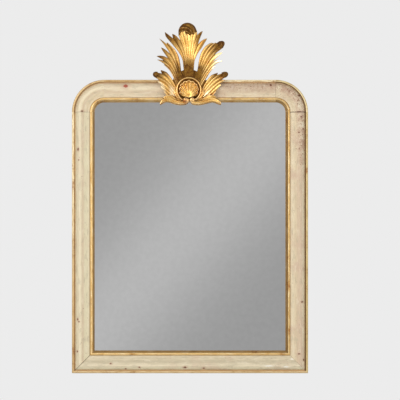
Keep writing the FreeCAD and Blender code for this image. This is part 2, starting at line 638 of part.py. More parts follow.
def cartouche_ring():
    """A half-round band, open below, round the shell."""
    x, z = crest_place(*RING_CENTRE_SHARES)
    inner = RING_OUTER_RADIUS - RING_BAND_WIDTH
    a = FreeCAD.Vector(0, -HUB_FRONT, inner)
    b = FreeCAD.Vector(0, -HUB_FRONT - RING_BAND_RISE, inner + RING_BAND_WIDTH / 2)
    c = FreeCAD.Vector(0, -HUB_FRONT, RING_OUTER_RADIUS)
    section = Part.Face(Part.Wire([Part.Arc(a, b, c).toShape(), line(c, a)]))
    section.rotate(FreeCAD.Vector(0, 0, 0), FreeCAD.Vector(0, 1, 0), 180 + RING_MOUTH_ANGLE / 2)
    ring = section.revolve(FreeCAD.Vector(0, 0, 0), FreeCAD.Vector(0, 1, 0), 360 - RING_MOUTH_ANGLE)
    ring.translate(FreeCAD.Vector(x, 0, z))
    return ring


def shell():
    """A fan of tapering ribs that meet at a hinge below, cut flat on the hub."""
    x, z = crest_place(*RING_CENTRE_SHARES)
    hinge_z = z - SHELL_HINGE_DROP
    reach = RING_OUTER_RADIUS - RING_BAND_WIDTH - SHELL_ROOM
    ribs = []
    for index in range(SHELL_RIB_COUNT):
        turn = math.radians(SHELL_SPREAD_ANGLE * (index / (SHELL_RIB_COUNT - 1) - 0.5))
        end_x = (reach - SHELL_RIB_RADIUS) * math.sin(turn)
        end_z = (reach - SHELL_RIB_RADIUS) * math.cos(turn)
        way = FreeCAD.Vector(end_x, 0, end_z + SHELL_HINGE_DROP)
        start = point(x, HUB_FRONT, hinge_z)
        ribs.append(Part.makeCone(SHELL_HINGE_RADIUS, SHELL_RIB_RADIUS, way.Length, start, way))
        ribs.append(Part.makeSphere(SHELL_RIB_RADIUS, start + way))
    ribs.append(Part.makeSphere(SHELL_HINGE_RADIUS + SHELL_RISE, point(x, HUB_FRONT, hinge_z)))
    fan = ribs[0].multiFuse(ribs[1:])
    half = RING_OUTER_RADIUS + OVERRUN
    front = box((x - half, x + half), (HUB_FRONT, HUB_FRONT + half), (z - half, z + half))
    return fan.common(front)


def volute(shares):
    x, z = crest_place(*shares)
    top = HUB_FRONT + VOLUTE_RISE
    drum = rod(x, z, [(VOLUTE_RADIUS, HUB_FRONT, top)])
    rim = [edge for edge in drum.Edges if abs(edge.CenterOfMass.y + top) < GLUE_LINE]
    drum = drum.makeFillet(VOLUTE_ROUNDING, rim[:1])
    return drum.fuse(rod(x, z, [(VOLUTE_EYE_RADIUS, HUB_FRONT, top + VOLUTE_EYE_RISE)]))


# Crest support
BATTEN_FOOT = HALF_HEIGHT - BOARD_WALL + BATTEN_END_ROOM
BATTEN_TOP = HALF_HEIGHT + BATTEN_RISE
PACKING_TOP = BATTEN_TOP - PACKING_TOP_ROOM
PACKING_MIDDLE = PACKING_TOP - PACKING_HEIGHT / 2


def batten(clearance):
    half = BATTEN_WIDTH / 2 + clearance
    return box((CREST_AXIS - half, CREST_AXIS + half), (-clearance, BATTEN_THICKNESS),
               (BATTEN_FOOT - clearance, BATTEN_TOP))


def packing_block(plume, hub):
    """Fills the space between the batten and the curved back of the plume, and gives way to the hub."""
    half = PACKING_WIDTH / 2
    blank = box((CREST_AXIS - half, CREST_AXIS + half), (BATTEN_THICKNESS, LEAF_BACK + PLUME_REACH),
                (PACKING_TOP - PACKING_HEIGHT, PACKING_TOP))
    pieces = cut_all(blank, [plume, hub]).Solids
    return max(pieces, key=lambda solid: solid.CenterOfMass.y)


def batten_screw_places():
    foot_length = HALF_HEIGHT - BATTEN_FOOT
    return [(CREST_AXIS, BATTEN_FOOT + share * foot_length) for share in BATTEN_SCREW_SHARES]


def hub_screw_places():
    return [(CREST_AXIS + side * HUB_SCREW_SPREAD, HALF_HEIGHT - HUB_SCREW_INSET) for side in (-1, 1)]


def build():
    nodes = {}
    core = moulding_set(core_face())
    bead = moulding_set(bead_face())
    slip = moulding_set(slip_face())
    spaces = [rebate_space(BOARD_WALL, BOARD_THICKNESS), rebate_space(GLASS_WALL, GLASS_FRONT)]
    core = {side: cut_all(shape, spaces) for side, shape in core.items()}

    # Crest carving, from the front back: each piece gives way to the one before it
    over = scribe_tool(core["top"], bead["top"], slip["top"])
    hub = largest(cut_all(crest_prism(HUB_SHARES, HUB_BACK_DEPTH, HUB_FRONT), over))
    ring = cartouche_ring()
    left_volute = volute(LEFT_VOLUTE_SHARES)
    right_volute = volute(RIGHT_VOLUTE_SHARES)
    fan = cut_all(shell(), [ring, left_volute, right_volute])
    ring = cut_all(ring, [left_volute, right_volute])
    done = [hub, ring, fan, left_volute, right_volute] + over
    carved = {"crest_hub": hub, "crest_cartouche_ring": ring, "crest_shell": fan,
              "crest_left_volute": left_volute, "crest_right_volute": right_volute}
    leaves = (
        ("crest_plume", PLUME_SHARES, PLUME_AXIS_SHARES, PLUME_REACH, PLUME_FLUTE_SHARES),
        ("crest_left_leaf", LEFT_LEAF_SHARES, LEFT_LEAF_AXIS_SHARES, UPPER_LEAF_REACH,
         LEFT_LEAF_FLUTE_SHARES),
        ("crest_right_leaf", RIGHT_LEAF_SHARES, RIGHT_LEAF_AXIS_SHARES, UPPER_LEAF_REACH,
         RIGHT_LEAF_FLUTE_SHARES),
        ("crest_left_lower_leaf", LEFT_LOWER_SHARES, LEFT_LOWER_AXIS_SHARES, LOWER_LEAF_REACH,
         LEFT_LOWER_FLUTE_SHARES),
        ("crest_right_lower_leaf", RIGHT_LOWER_SHARES, RIGHT_LOWER_AXIS_SHARES, LOWER_LEAF_REACH,
         RIGHT_LOWER_FLUTE_SHARES),
        ("crest_left_tail", LEFT_TAIL_SHARES, LEFT_TAIL_AXIS_SHARES, TAIL_REACH, LEFT_TAIL_FLUTE_SHARES),
        ("crest_right_tail", RIGHT_TAIL_SHARES, RIGHT_TAIL_AXIS_SHARES, TAIL_REACH, RIGHT_TAIL_FLUTE_SHARES),
    )
    for name, shares, axis_shares, reach, flute_shares in leaves:
        carved[name] = largest(cut_all(leaf(shares, axis_shares, reach, flute_shares), done))
        done.append(carved[name])

    # Crest support and its screws
    upright = batten(0)
    packing = packing_block(carved["crest_plume"], hub)
    plume_screw_length = -packing.BoundBox.YMin + PLUME_SCREW_BITE - PLUME_SCREW_SINK
    hub_screw_length = HUB_FRONT - HUB_SCREW_END_ROOM - HUB_SCREW_SINK
    plume_screw = (CREST_AXIS, PACKING_MIDDLE, PLUME_SCREW_SINK, plume_screw_length)
    foot_screws = [(x, z, PLUME_SCREW_SINK, BATTEN_SCREW_LENGTH) for x, z in batten_screw_places()]
    hub_screws = [(x, z, HUB_SCREW_SINK, hub_screw_length) for x, z in hub_screw_places()]
    screws = [plume_screw] + foot_screws + hub_screws
    holes = [screw_hole(*place, -OVERRUN) for place in screws]
    core["top"] = cut_all(core["top"], [batten(GLUE_LINE)] + holes)
    carved["crest_hub"] = cut_all(carved["crest_hub"], holes)
    carved["crest_plume"] = cut_all(carved["crest_plume"], holes)
    nodes["crest_batten"] = cut_all(upright, holes)
    nodes["crest_packing_block"] = cut_all(packing, holes)
    nodes["crest_screws"] = Part.makeCompound([screw(*place) for place in screws])

    # Frame joinery, back and glass
    nails = nail_places()
    nail_holes = [nail_hole(x, z) for x, z in nails]
    dowel_holes = dowels(GLUE_LINE)
    key_slots = mitre_keys(GLUE_LINE)
    hanger_places = hanger_screw_places()
    hanger_holes = [screw_hole(x, z, HANGER_SCREW_HEAD, HANGER_SCREW_LENGTH, 0) for x, z in hanger_places]
    left_cuts = [hanger_pocket()] + hanger_holes
    right_cuts = [mirrored(tool) for tool in left_cuts]
    core["left"] = cut_all(core["left"], left_cuts)
    core["right"] = cut_all(core["right"], right_cuts)
    core = {side: cut_all(shape, nail_holes + dowel_holes + key_slots) for side, shape in core.items()}
    core_names = {"top": "top_rail", "bottom": "bottom_rail", "left": "left_stile", "right": "right_stile",
                  "left_corner": "left_corner_block", "right_corner": "right_corner_block"}
    for side, name in core_names.items():
        nodes[name] = core[side]
        nodes["outer_bead_" + side] = bead[side]
        nodes["sight_slip_" + side] = slip[side]
    nodes["corner_dowels"] = Part.makeCompound(dowels(0))
    nodes["mitre_keys"] = Part.makeCompound(mitre_keys(0))
    glass_edge = GLASS_WALL + GLASS_PLAY
    half_x = HALF_WIDTH - glass_edge
    half_z = HALF_HEIGHT - glass_edge
    nodes["mirror_plate"] = box((-half_x, half_x), (GLASS_BACK, GLASS_FRONT), (-half_z, half_z))
    nodes["glazing_blocks"] = Part.makeCompound(glazing_blocks())
    for name, board in backboards().items():
        nodes[name] = cut_all(board, nail_holes)
    nodes["backboard_nails"] = Part.makeCompound([nail(x, z) for x, z in nails])

    # Ring hangers
    strap = hanger_strap()
    ring_left = hanger_ring()
    hanger_screws = [screw(x, z, HANGER_SCREW_HEAD, HANGER_SCREW_LENGTH) for x, z in hanger_places]
    nodes["hanger_strap_left"] = strap
    nodes["hanger_strap_right"] = mirrored(strap)
    nodes["hanger_ring_left"] = ring_left
    nodes["hanger_ring_right"] = mirrored(ring_left)
    nodes["hanger_screws"] = Part.makeCompound(hanger_screws + [mirrored(s) for s in hanger_screws])
    nodes.update(carved)
    return nodes


os.makedirs("parts", exist_ok=True)
for node_name, node_shape in build().items():
    solids = node_shape.Solids
    print(node_name, len(solids), "solids", "valid" if node_shape.isValid() else "NOT VALID")
    node_shape.exportStep("parts/" + node_name + ".step")
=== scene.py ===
import math
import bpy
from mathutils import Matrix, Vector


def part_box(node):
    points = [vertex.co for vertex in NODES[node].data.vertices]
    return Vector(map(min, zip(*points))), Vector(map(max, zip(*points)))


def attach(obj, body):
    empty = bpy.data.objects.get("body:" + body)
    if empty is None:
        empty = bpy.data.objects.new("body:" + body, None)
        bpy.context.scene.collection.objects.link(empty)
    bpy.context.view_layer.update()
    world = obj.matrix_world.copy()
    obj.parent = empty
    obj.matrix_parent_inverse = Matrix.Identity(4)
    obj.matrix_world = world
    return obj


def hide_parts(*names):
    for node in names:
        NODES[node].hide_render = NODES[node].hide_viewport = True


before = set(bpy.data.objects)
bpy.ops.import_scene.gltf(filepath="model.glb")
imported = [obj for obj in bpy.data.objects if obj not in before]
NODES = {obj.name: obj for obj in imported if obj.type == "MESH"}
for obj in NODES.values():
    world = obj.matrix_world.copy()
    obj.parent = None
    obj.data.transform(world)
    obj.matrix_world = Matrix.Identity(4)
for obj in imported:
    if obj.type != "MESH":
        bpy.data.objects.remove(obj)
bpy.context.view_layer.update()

from types import SimpleNamespace

import bmesh
import bpy
import numpy as np
from mathutils import Vector
from mathutils.kdtree import KDTree

# The looks of a framed wall mirror: painted and parcel-gilt mouldings, a carved and gilded crest, a mirror
# plate and a plain pine back. Metres. X runs to the viewer's right, Y into the wall and Z up. Inset is the
# distance from the frame's outer edge.

FRAME_BODY = "frame"
FORWARD = np.array((0.0, -1.0, 0.0))

# Sizes read from the frame, which is centred on the origin
FRAME_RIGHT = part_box("outer_bead_right")[1].x
FRAME_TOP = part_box("outer_bead_top")[1].z
CORNER_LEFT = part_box("left_corner_block")[1].x
CORNER_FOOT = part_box("left_corner_block")[0].z
CORNER_RADIUS = FRAME_TOP - CORNER_FOOT

# Crest box, as in the construction
CREST_WIDTH = 0.246
CREST_HEIGHT = 0.269
CREST_DROP = 0.0844
CREST_FOOT = FRAME_TOP - CREST_DROP
LEAF_BACK = 0.0414
CREST_REACH = 0.040
HUB_FRONT = 0.050

# Carving
VOXEL = 0.00055
SOFTEN_SHARE = 0.5
SOFTEN_STEPS = 14
KEEP_SHARE = 0.4
REED_ROUND_SHARE = 0.46
REED_SWAY_SHARE = 0.07
REED_SWAYS = 5.0
REED_SWAY_LAG = 3.0
VALLEY_SHARE = 0.20
LINE_SHARE = 0.14
ROOT_SHADE_SHARE = 0.60
TIP_SHADE_SHARE = 0.55
BLADE_ROWS = 64
BLADE_COLUMNS = 12
BLADE_THICKNESS = 0.0062
BLADE_REED_SHARE = 0.28
BLADE_FADE_SHARE = 0.45
BLADE_EDGE_SHARES = (0.2, 0.5)
WEB_THICKNESS = 0.0050
LEAF_ROWS = 90
LEAF_COLUMNS = 24
LEAF_EDGE_SHARE = 0.45
LEAF_TIP_POWER = 1.25
LEAF_THICKNESS = 0.0065
LEAF_THINNING_SHARE = 0.4
FLUTE_SHARE = 0.24
FLUTE_WIDEST = 0.014
FLUTE_FADE_SHARE = 0.3
PER_MILLE = 1000

# Each leaf is a sheet across its ribs. A rib is the depth of the notch between its tip and the next one's,
# how much painted shade its root and its tip get, or below zero how much painted highlight, and stations
# from root to tip: across, up and forward in thousandths of the crest's width, height and reach.
PLUME_SHARES = (
    (0.14, 1.6, 1.4, ((-66, 328, 240), (-78, 460, 210), (-90, 550, 300), (-126, 630, 330), (-190, 720, 380),
        (-262, 805, 480), (-331, 884, 580))),
    (0.22, 1.6, 1.1, ((-50, 328, 250), (-56, 460, 230), (-66, 560, 350), (-95, 660, 380), (-140, 750, 430),
        (-188, 815, 520), (-234, 862, 580))),
    (0.02, 1.6, 0.2, ((-34, 328, 260), (-36, 460, 250), (-42, 560, 370), (-66, 680, 400), (-104, 790, 470),
        (-132, 870, 540), (-140, 930, 580))),
    (0.02, 1.6, -0.2, ((-18, 328, 260), (-18, 460, 260), (-20, 560, 380), (-36, 700, 420), (-56, 820, 500),
        (-68, 900, 560), (-72, 965, 600))),
    (0.02, 1.6, -0.2, ((-2, 328, 260), (-2, 460, 260), (0, 560, 380), (-2, 700, 420), (0, 820, 500),
        (4, 900, 560), (6, 965, 600))),
    (0.12, 1.6, 0.1, ((14, 328, 260), (14, 460, 250), (18, 560, 370), (30, 680, 400), (53, 790, 470),
        (72, 870, 540), (76, 930, 580))),
    (0.26, 1.6, 1.5, ((28, 328, 250), (29, 460, 230), (36, 560, 350), (55, 670, 380), (85, 765, 450),
        (125, 840, 540), (169, 896, 600))),
    (0.26, 1.6, 0.7, ((42, 328, 240), (46, 460, 210), (55, 550, 300), (85, 635, 340), (125, 705, 400),
        (175, 765, 500), (229, 808, 560))),
)
LEFT_LEAF_SHARES = (
    (0.2, 0.8, 0.6, ((-170, 235, 200), (-205, 320, 140), (-250, 400, 140), (-300, 455, 220),
        (-350, 490, 340))),
    (0.22, 1.0, 0.7, ((-160, 255, 210), (-192, 340, 150), (-240, 425, 160), (-305, 490, 260),
        (-370, 527, 400), (-437, 551, 560))),
    (0.3, 1.2, 1.2, ((-147, 275, 220), (-178, 360, 160), (-226, 455, 180), (-290, 528, 280),
        (-360, 570, 420), (-443, 591, 580))),
    (0.36, 1.4, 1.0, ((-130, 295, 220), (-160, 380, 160), (-203, 485, 170), (-258, 578, 250),
        (-320, 645, 380), (-384, 699, 520))),
    (0.12, 1.6, 0.8, ((-110, 312, 220), (-142, 390, 150), (-180, 505, 150), (-233, 613, 240),
        (-300, 705, 360), (-360, 768, 500), (-410, 808, 620))),
    (0.2, 1.7, 0.3, ((-90, 325, 220), (-122, 400, 140), (-150, 520, 130), (-185, 615, 200),
        (-235, 690, 330), (-300, 760, 500))),
)
RIGHT_LEAF_SHARES = (
    (0.03, 1.7, 0.6, ((60, 325, 220), (98, 400, 140), (130, 530, 130), (168, 635, 220), (225, 710, 350),
        (295, 757, 500))),
    (0.05, 1.6, 0.6, ((75, 318, 220), (114, 395, 150), (155, 515, 160), (207, 623, 260), (275, 705, 400),
        (345, 757, 540))),
    (0.03, 1.6, 1.2, ((90, 308, 220), (130, 385, 160), (178, 495, 180), (245, 608, 290), (320, 698, 450),
        (392, 776, 600))),
    (0.26, 1.4, 1.2, ((105, 295, 220), (146, 375, 160), (200, 475, 190), (277, 588, 300), (355, 656, 460),
        (446, 700, 600))),
    (0.3, 1.0, -0.3, ((118, 280, 220), (160, 355, 160), (217, 445, 190), (290, 545, 290), (360, 605, 430),
        (432, 636, 570))),
    (0.22, 0.6, -0.9, ((132, 260, 210), (174, 330, 150), (230, 410, 180), (295, 485, 280), (360, 525, 420),
        (432, 532, 560))),
    (0.2, 0.3, -0.7, ((142, 240, 200), (184, 300, 140), (235, 372, 140), (290, 435, 220), (340, 468, 320))),
)
LEFT_LOWER_SHARES = (
    (0.12, -0.9, -0.3, ((-205, 50, 80), (-250, 80, 130), (-295, 115, 180), (-335, 145, 240))),
    (0.15, -1.1, -0.8, ((-200, 80, 100), (-250, 125, 160), (-305, 170, 240), (-352, 205, 320),
        (-395, 228, 380))),
    (0.15, -1.1, -0.8, ((-195, 110, 110), (-250, 165, 180), (-312, 225, 280), (-372, 262, 380),
        (-430, 282, 460))),
    (0.03, -0.9, 0.8, ((-190, 140, 120), (-245, 205, 200), (-307, 270, 300), (-380, 312, 430),
        (-470, 342, 540))),
    (0.18, -0.4, 1.2, ((-185, 170, 120), (-235, 235, 200), (-292, 300, 290), (-365, 354, 420),
        (-462, 394, 540))),
    (0.25, 0.0, 1.2, ((-180, 200, 120), (-222, 265, 200), (-270, 330, 280), (-328, 385, 400),
        (-388, 424, 480))),
)
RIGHT_LOWER_SHARES = (
    (0.2, 0.4, 1.3, ((160, 190, 120), (205, 250, 200), (255, 310, 280), (310, 358, 400), (368, 392, 470))),
    (0.03, 0.2, 1.3, ((167, 160, 120), (220, 225, 200), (282, 290, 290), (365, 350, 420), (470, 394, 540))),
    (0.15, -0.4, 1.2, ((173, 130, 120), (230, 195, 200), (296, 260, 300), (385, 316, 430),
        (485, 346, 540))),
    (0.18, -0.6, 0.5, ((179, 100, 110), (238, 155, 180), (308, 218, 280), (388, 275, 400),
        (468, 306, 490))),
    (0.12, -0.8, -0.2, ((185, 75, 100), (240, 115, 160), (305, 165, 250), (365, 212, 340),
        (418, 246, 400))),
    (0.12, -0.8, -0.2, ((190, 50, 80), (238, 80, 130), (288, 112, 180), (335, 150, 240))),
)
# A tail is a bundle of blades. A blade is a reed count, its painted shade at root and tip, and its
# stations, which also give its half-width in thousandths of the crest's width. No reeds make a plain web
# behind the others.
LEFT_TAIL_SHARES = (
    (0, 0.2, 0.0, ((-90, 65, 80, 30), (-170, 80, 80, 60), (-240, 85, 80, 55), (-310, 85, 120, 30))),
    (2, 0.0, 0.1, ((-12, 75, 200, 12), (-47, 41, 220, 20), (-117, 30, 220, 24), (-188, 42, 200, 28),
        (-258, 66, 200, 32), (-315, 72, 220, 30), (-365, 50, 260, 22), (-402, 12, 300, 4))),
    (2, 0.3, 0.1, ((-190, 65, 150, 22), (-250, 100, 180, 28), (-310, 108, 240, 18), (-356, 92, 280, 3))),
    (2, 0.3, 0.1, ((-40, 70, 200, 10), (-105, 70, 200, 14), (-160, 100, 220, 20), (-195, 155, 220, 22),
        (-205, 220, 200, 6))),
)
RIGHT_TAIL_SHARES = (
    (0, 0.2, 0.0, ((65, 65, 80, 30), (145, 80, 80, 60), (220, 85, 80, 55), (290, 85, 120, 30))),
    (2, 0.0, 0.1, ((0, 75, 200, 12), (31, 41, 220, 20), (102, 30, 220, 24), (172, 42, 200, 28),
        (243, 62, 200, 32), (305, 71, 220, 32), (360, 53, 260, 28), (405, 24, 300, 14), (416, 14, 300, 4))),
    (2, 0.3, 0.1, ((170, 65, 150, 22), (235, 100, 180, 28), (300, 110, 240, 20), (352, 96, 280, 3))),
    (2, 0.3, 0.1, ((15, 70, 200, 10), (80, 70, 200, 14), (135, 100, 220, 20), (170, 155, 220, 22),
        (180, 220, 200, 6))),
)

# Hoods: leaf tips that curl over towards the viewer, oval domes with twisted ribs and a hanging tongue. For
# each leaf its middle across and up, its turn from upright in degrees, its half-width and half-height, and
# how far forward its rim and its crown come. The edge is the outline of a hood's foot, in its half-sizes.
HOOD_SHARES = {
    "crest_plume": (-0.033, 0.885, 0.0, 0.121, 0.113, 0.60, 0.98),
    "crest_right_leaf": (0.402, 0.726, 50.0, 0.047, 0.062, 0.62, 0.86),
    "crest_left_lower_leaf": (-0.440, 0.366, -72.0, 0.042, 0.050, 0.52, 0.76),
    "crest_right_lower_leaf": (0.450, 0.364, 68.0, 0.042, 0.056, 0.52, 0.76),
}
HOOD_EDGE_SHARES = (
    (-1.0, -0.47), (-0.86, -0.15), (-0.63, 0.08), (-0.31, 0.02), (-0.05, -0.19),
    (0.24, -0.43), (0.36, -0.42), (0.60, -0.22), (0.86, -0.04), (1.0, 0.0),
)
HOOD_COLUMNS = 61
HOOD_ROWS = 41
HOOD_LEAST_SHARE = 0.1
HOOD_THICKNESS = 0.0050
HOOD_INNER_SHARE = 0.86
HOOD_TONGUE_SHARES = (0.30, -0.60)
HOOD_VEINS = 5.0
HOOD_TWIST = 1.2
HOOD_VEIN_SHARE = 0.11
HOOD_VEIN_POWER = 0.7
HOOD_VEIN_RISE = 3.0
HOOD_LINE_SHARE = 0.35
# Painted shade on each hood, lightened on the ribs as painted highlight.
HOOD_SHADE = 1.9
HOOD_RIB_LIGHT_SHARE = 0.62
HOOD_RIB_LIGHT_POWER = 3.0

# Cartouche
RING_CENTRE_SHARES = (-0.015, 0.187)
RING_ROWS = 120
RING_SIDES = 28
RING_OUTER_RADIUS = 0.043
RING_BAND_WIDTH = 0.008
RING_BAND_RISE = 0.009
RING_BACK_SHARE = 0.5
RING_MOUTH_ANGLE = 70.0
SHELL_LOBES = 9
SHELL_LOBE_COLUMNS = 24
SHELL_ROWS = 40
SHELL_START_SHARE = 0.02
SHELL_RADIUS = 0.0325
SHELL_SCALLOP_SHARE = 0.08
SHELL_HINGE_DROP = 0.026
SHELL_HINGE_SHARES = (0.5, 0.4)
SHELL_SPREAD_ANGLE = 254.0
SHELL_DOME = 0.0075
SHELL_DOME_SHARE = 0.9
SHELL_HOLLOW = 0.0036
SHELL_HOLLOW_SHARES = (0.1, 0.75, 0.85, 0.97)
SHELL_LIP = 0.0026
SHELL_LIP_SHARES = (0.94, 0.05)
SHELL_FLOOR = 0.0020
VOLUTE_SHARES = {"crest_left_volute": (-0.060, 0.066), "crest_right_volute": (0.034, 0.066)}
VOLUTE_WAYS = {"crest_left_volute": 1, "crest_right_volute": -1}
VOLUTE_ROWS = 90
VOLUTE_SIDES = 16
VOLUTE_RADIUS = 0.0095
VOLUTE_TURNS = 1.9
VOLUTE_TIGHTENING = 0.9
VOLUTE_WIRE = 0.0030
VOLUTE_TAPER_SHARE = 0.35
VOLUTE_RISE = 0.0075
VOLUTE_START_SHARE = 0.4
BUTTON_ROWS = 12
BUTTON_SIDES = 32
BUTTON_RISE_SHARE = 0.8
BUTTON_SHADE = 0.3
HUB_SIDES = 96
HUB_UP = 0.068
HUB_SIDE = 0.060
HUB_DOWN = 0.037
HUB_BACK = 0.036
HUB_COVE_SHARES = ((0.02, 0.0), (0.60, 0.0), (0.66, 0.05), (0.75, -0.30), (0.86, -0.50), (1.0, -0.60))
HUB_BACK_SHARES = (0.98, 0.02)
HUB_SHADE = 1.6


# Mesh helpers
def placed(name, data):
    """A new object in the scene."""
    made = bpy.data.objects.new(name, data)
    bpy.context.scene.collection.objects.link(made)
    return made


def mesh_object(name, points, faces):
    mesh = bpy.data.meshes.new(name)
    mesh.from_pydata([tuple(p) for p in points], [], faces)
    return placed(name, mesh)


def tube(rings):
    """Points and faces of a closed tube through rings of points, with a fan at each end."""
    rows, ring = rings.shape[:2]
    start, end = rows * ring, rows * ring + 1
    last = (rows - 1) * ring
    faces = []
    for j in range(ring):
        k = (j + 1) % ring
        faces += [(a + j, a + k, a + ring + k, a + ring + j) for a in range(0, last, ring)]
        faces += [(start, k, j), (end, last + j, last + k)]
    ends = [rings[0].mean(0), rings[-1].mean(0)]
    return np.concatenate([rings.reshape(-1, 3), ends]), faces


def plate(front, back):
    """Points and faces of a closed plate between two grids of points."""
    columns, rows = front.shape[:2]
    count = columns * rows
    grid = np.arange(count).reshape(columns, rows)
    quads = np.stack([grid[:-1, :-1], grid[:-1, 1:], grid[1:, 1:], grid[1:, :-1]], axis=-1).reshape(-1, 4)
    rim = np.concatenate([grid[0, :-1], grid[:-1, -1], grid[-1, :0:-1], grid[:0:-1, 0]])
    after = np.roll(rim, -1)
    sides = np.column_stack([rim, after, count + after, count + rim])
    faces = np.concatenate([quads, count + quads[:, ::-1], sides])
    return np.concatenate([front.reshape(-1, 3), back.reshape(-1, 3)]), faces.tolist()


def smooth_rows(stations, rows):
    """Rows evenly spaced along a smooth line through given stations."""
    table = np.array(stations, float)
    steps = np.linalg.norm(np.diff(table[:, :3], axis=0), axis=1)
    at = np.concatenate([[0.0], np.cumsum(steps)])
    slopes = np.gradient(table, at, axis=0)
    where = np.linspace(0.0, at[-1], rows)
    k = np.clip(np.searchsorted(at, where, side="right") - 1, 0, len(at) - 2)
    span = (at[k + 1] - at[k])[:, None]
    s = (where - at[k])[:, None] / span
    near = table[k] * (1 + 2 * s) * (1 - s) ** 2 + slopes[k] * span * s * (1 - s) ** 2
    far = table[k + 1] * s ** 2 * (3 - 2 * s) + slopes[k + 1] * span * s ** 2 * (s - 1)
    return near + far


def unit(vectors):
    return vectors / np.linalg.norm(vectors, axis=-1, keepdims=True)


def carried_frames(line):
    """Side and face directions along a line, carried from its root without twisting."""
    tangents = unit(np.gradient(line, axis=0))
    side = np.cross(tangents[0], FORWARD)
    sides = []
    for tangent in tangents:
        side = unit(side - tangent * side.dot(tangent))
        sides.append(side)
    sides = np.array(sides)
    return sides, np.cross(sides, tangents)


def circle(count):
    """Angles round a whole circle."""
    return np.linspace(0, 2 * math.pi, count, endpoint=False)


def facing(turns):
    """Unit directions at angles round a circle that faces the viewer."""
    return np.stack([np.cos(turns), np.zeros_like(turns), np.sin(turns)], axis=-1)


def crest_place(across, up, forward):
    """Places in metres from shares of the crest's box."""
    x = np.asarray(across) * CREST_WIDTH
    y = -(LEAF_BACK + np.asarray(forward) * CREST_REACH)
    z = CREST_FOOT + np.asarray(up) * CREST_HEIGHT
    return np.stack(np.broadcast_arrays(x, y, z), axis=-1)


def hub_place(shares):
    """A place on the hub's face, from shares of the crest's width and height."""
    across, up = shares
    return np.array((across * CREST_WIDTH, -HUB_FRONT, CREST_FOOT + up * CREST_HEIGHT))


def smooth_step(value, low, high):
    s = np.clip((value - low) / (high - low), 0.0, 1.0)
    return s * s * (3 - 2 * s)


# Leaves and blades. A part is its points, its faces and two marks at each point: painted shade, which is
# painted highlight below zero, and valley line.
def sway(along, across):
    """How far reeds wander to the side on their way."""
    return REED_SWAY_SHARE * np.sin(REED_SWAYS * along + REED_SWAY_LAG * across)


def reeding(ridges):
    """Heights of round reeds with narrow valleys, as shares."""
    return (ridges + VALLEY_SHARE ** 2) ** REED_ROUND_SHARE


def painted_shade_along(along, root, tip):
    """Painted shade that fades away from the root and from the tip; below zero it is painted highlight."""
    from_root = root * smooth_step(along, ROOT_SHADE_SHARE, 0.0)
    return from_root + tip * smooth_step(along, 1.0 - TIP_SHADE_SHARE, 1.0)


def marked_plate(front, back, shade, lines):
    """A closed plate with the same marks on its face and its back."""
    points, faces = plate(front, back)
    return points, faces, np.tile(np.column_stack([shade.ravel(), lines.ravel()]), (2, 1))


def even_shade(part, shade):
    """A part with the same painted shade mark all over and no valley lines."""
    points, faces = part
    return points, faces, np.tile((shade, 0.0), (len(points), 1))


def blade(reeds, root_shade, tip_shade, stations):
    """A tapering strip of wood along a smooth line, reeded unless it is a web."""
    shares = np.array(stations) / PER_MILLE
    places = crest_place(*shares[:, :3].T)
    rows = smooth_rows(np.column_stack([places, shares[:, 3] * CREST_WIDTH]), BLADE_ROWS)
    line, half = rows[:, :3], np.maximum(rows[:, 3], VOXEL)
    sides, fronts = carried_frames(line)
    along = np.linspace(0.0, 1.0, BLADE_ROWS)
    s = np.sin(np.linspace(-1.0, 1.0, BLADE_COLUMNS * max(reeds, 2) + 1) * math.pi / 2)
    edge = np.sqrt(1 - s ** 2)
    thick = np.minimum(BLADE_THICKNESS if reeds else WEB_THICKNESS, half)
    swell = edge * thick[:, None] / 2
    lines = np.zeros_like(swell)
    if reeds:
        bent = s + sway(along[:, None], s) * edge ** 2
        ridges = np.sin(math.pi * reeds * (bent + 1) / 2) ** 2
        lines = smooth_step(ridges, LINE_SHARE, 0.0) * smooth_step(edge, *BLADE_EDGE_SHARES)
        fading = 1 - BLADE_FADE_SHARE * along[:, None]
        swell = swell + reeding(ridges) * fading * edge * BLADE_REED_SHARE * 2 * half[:, None] / reeds
    across = line[:, None, :] + sides[:, None, :] * (half[:, None] * s)[:, :, None]
    face = across + fronts[:, None, :] * swell[:, :, None]
    back = across - fronts[:, None, :] * swell[:, :, None]
    rings = np.concatenate([face, back[:, -2:0:-1]], axis=1)
    points, faces = tube(rings)
    shade = painted_shade_along(along, root_shade, tip_shade)
    shades = np.concatenate([np.repeat(shade, rings.shape[1]), [root_shade, tip_shade]])
    lines = np.concatenate([lines, np.zeros_like(lines[:, -2:0:-1])], axis=1)
    return points, faces, np.column_stack([shades, np.concatenate([lines.ravel(), [0.0, 0.0]])])


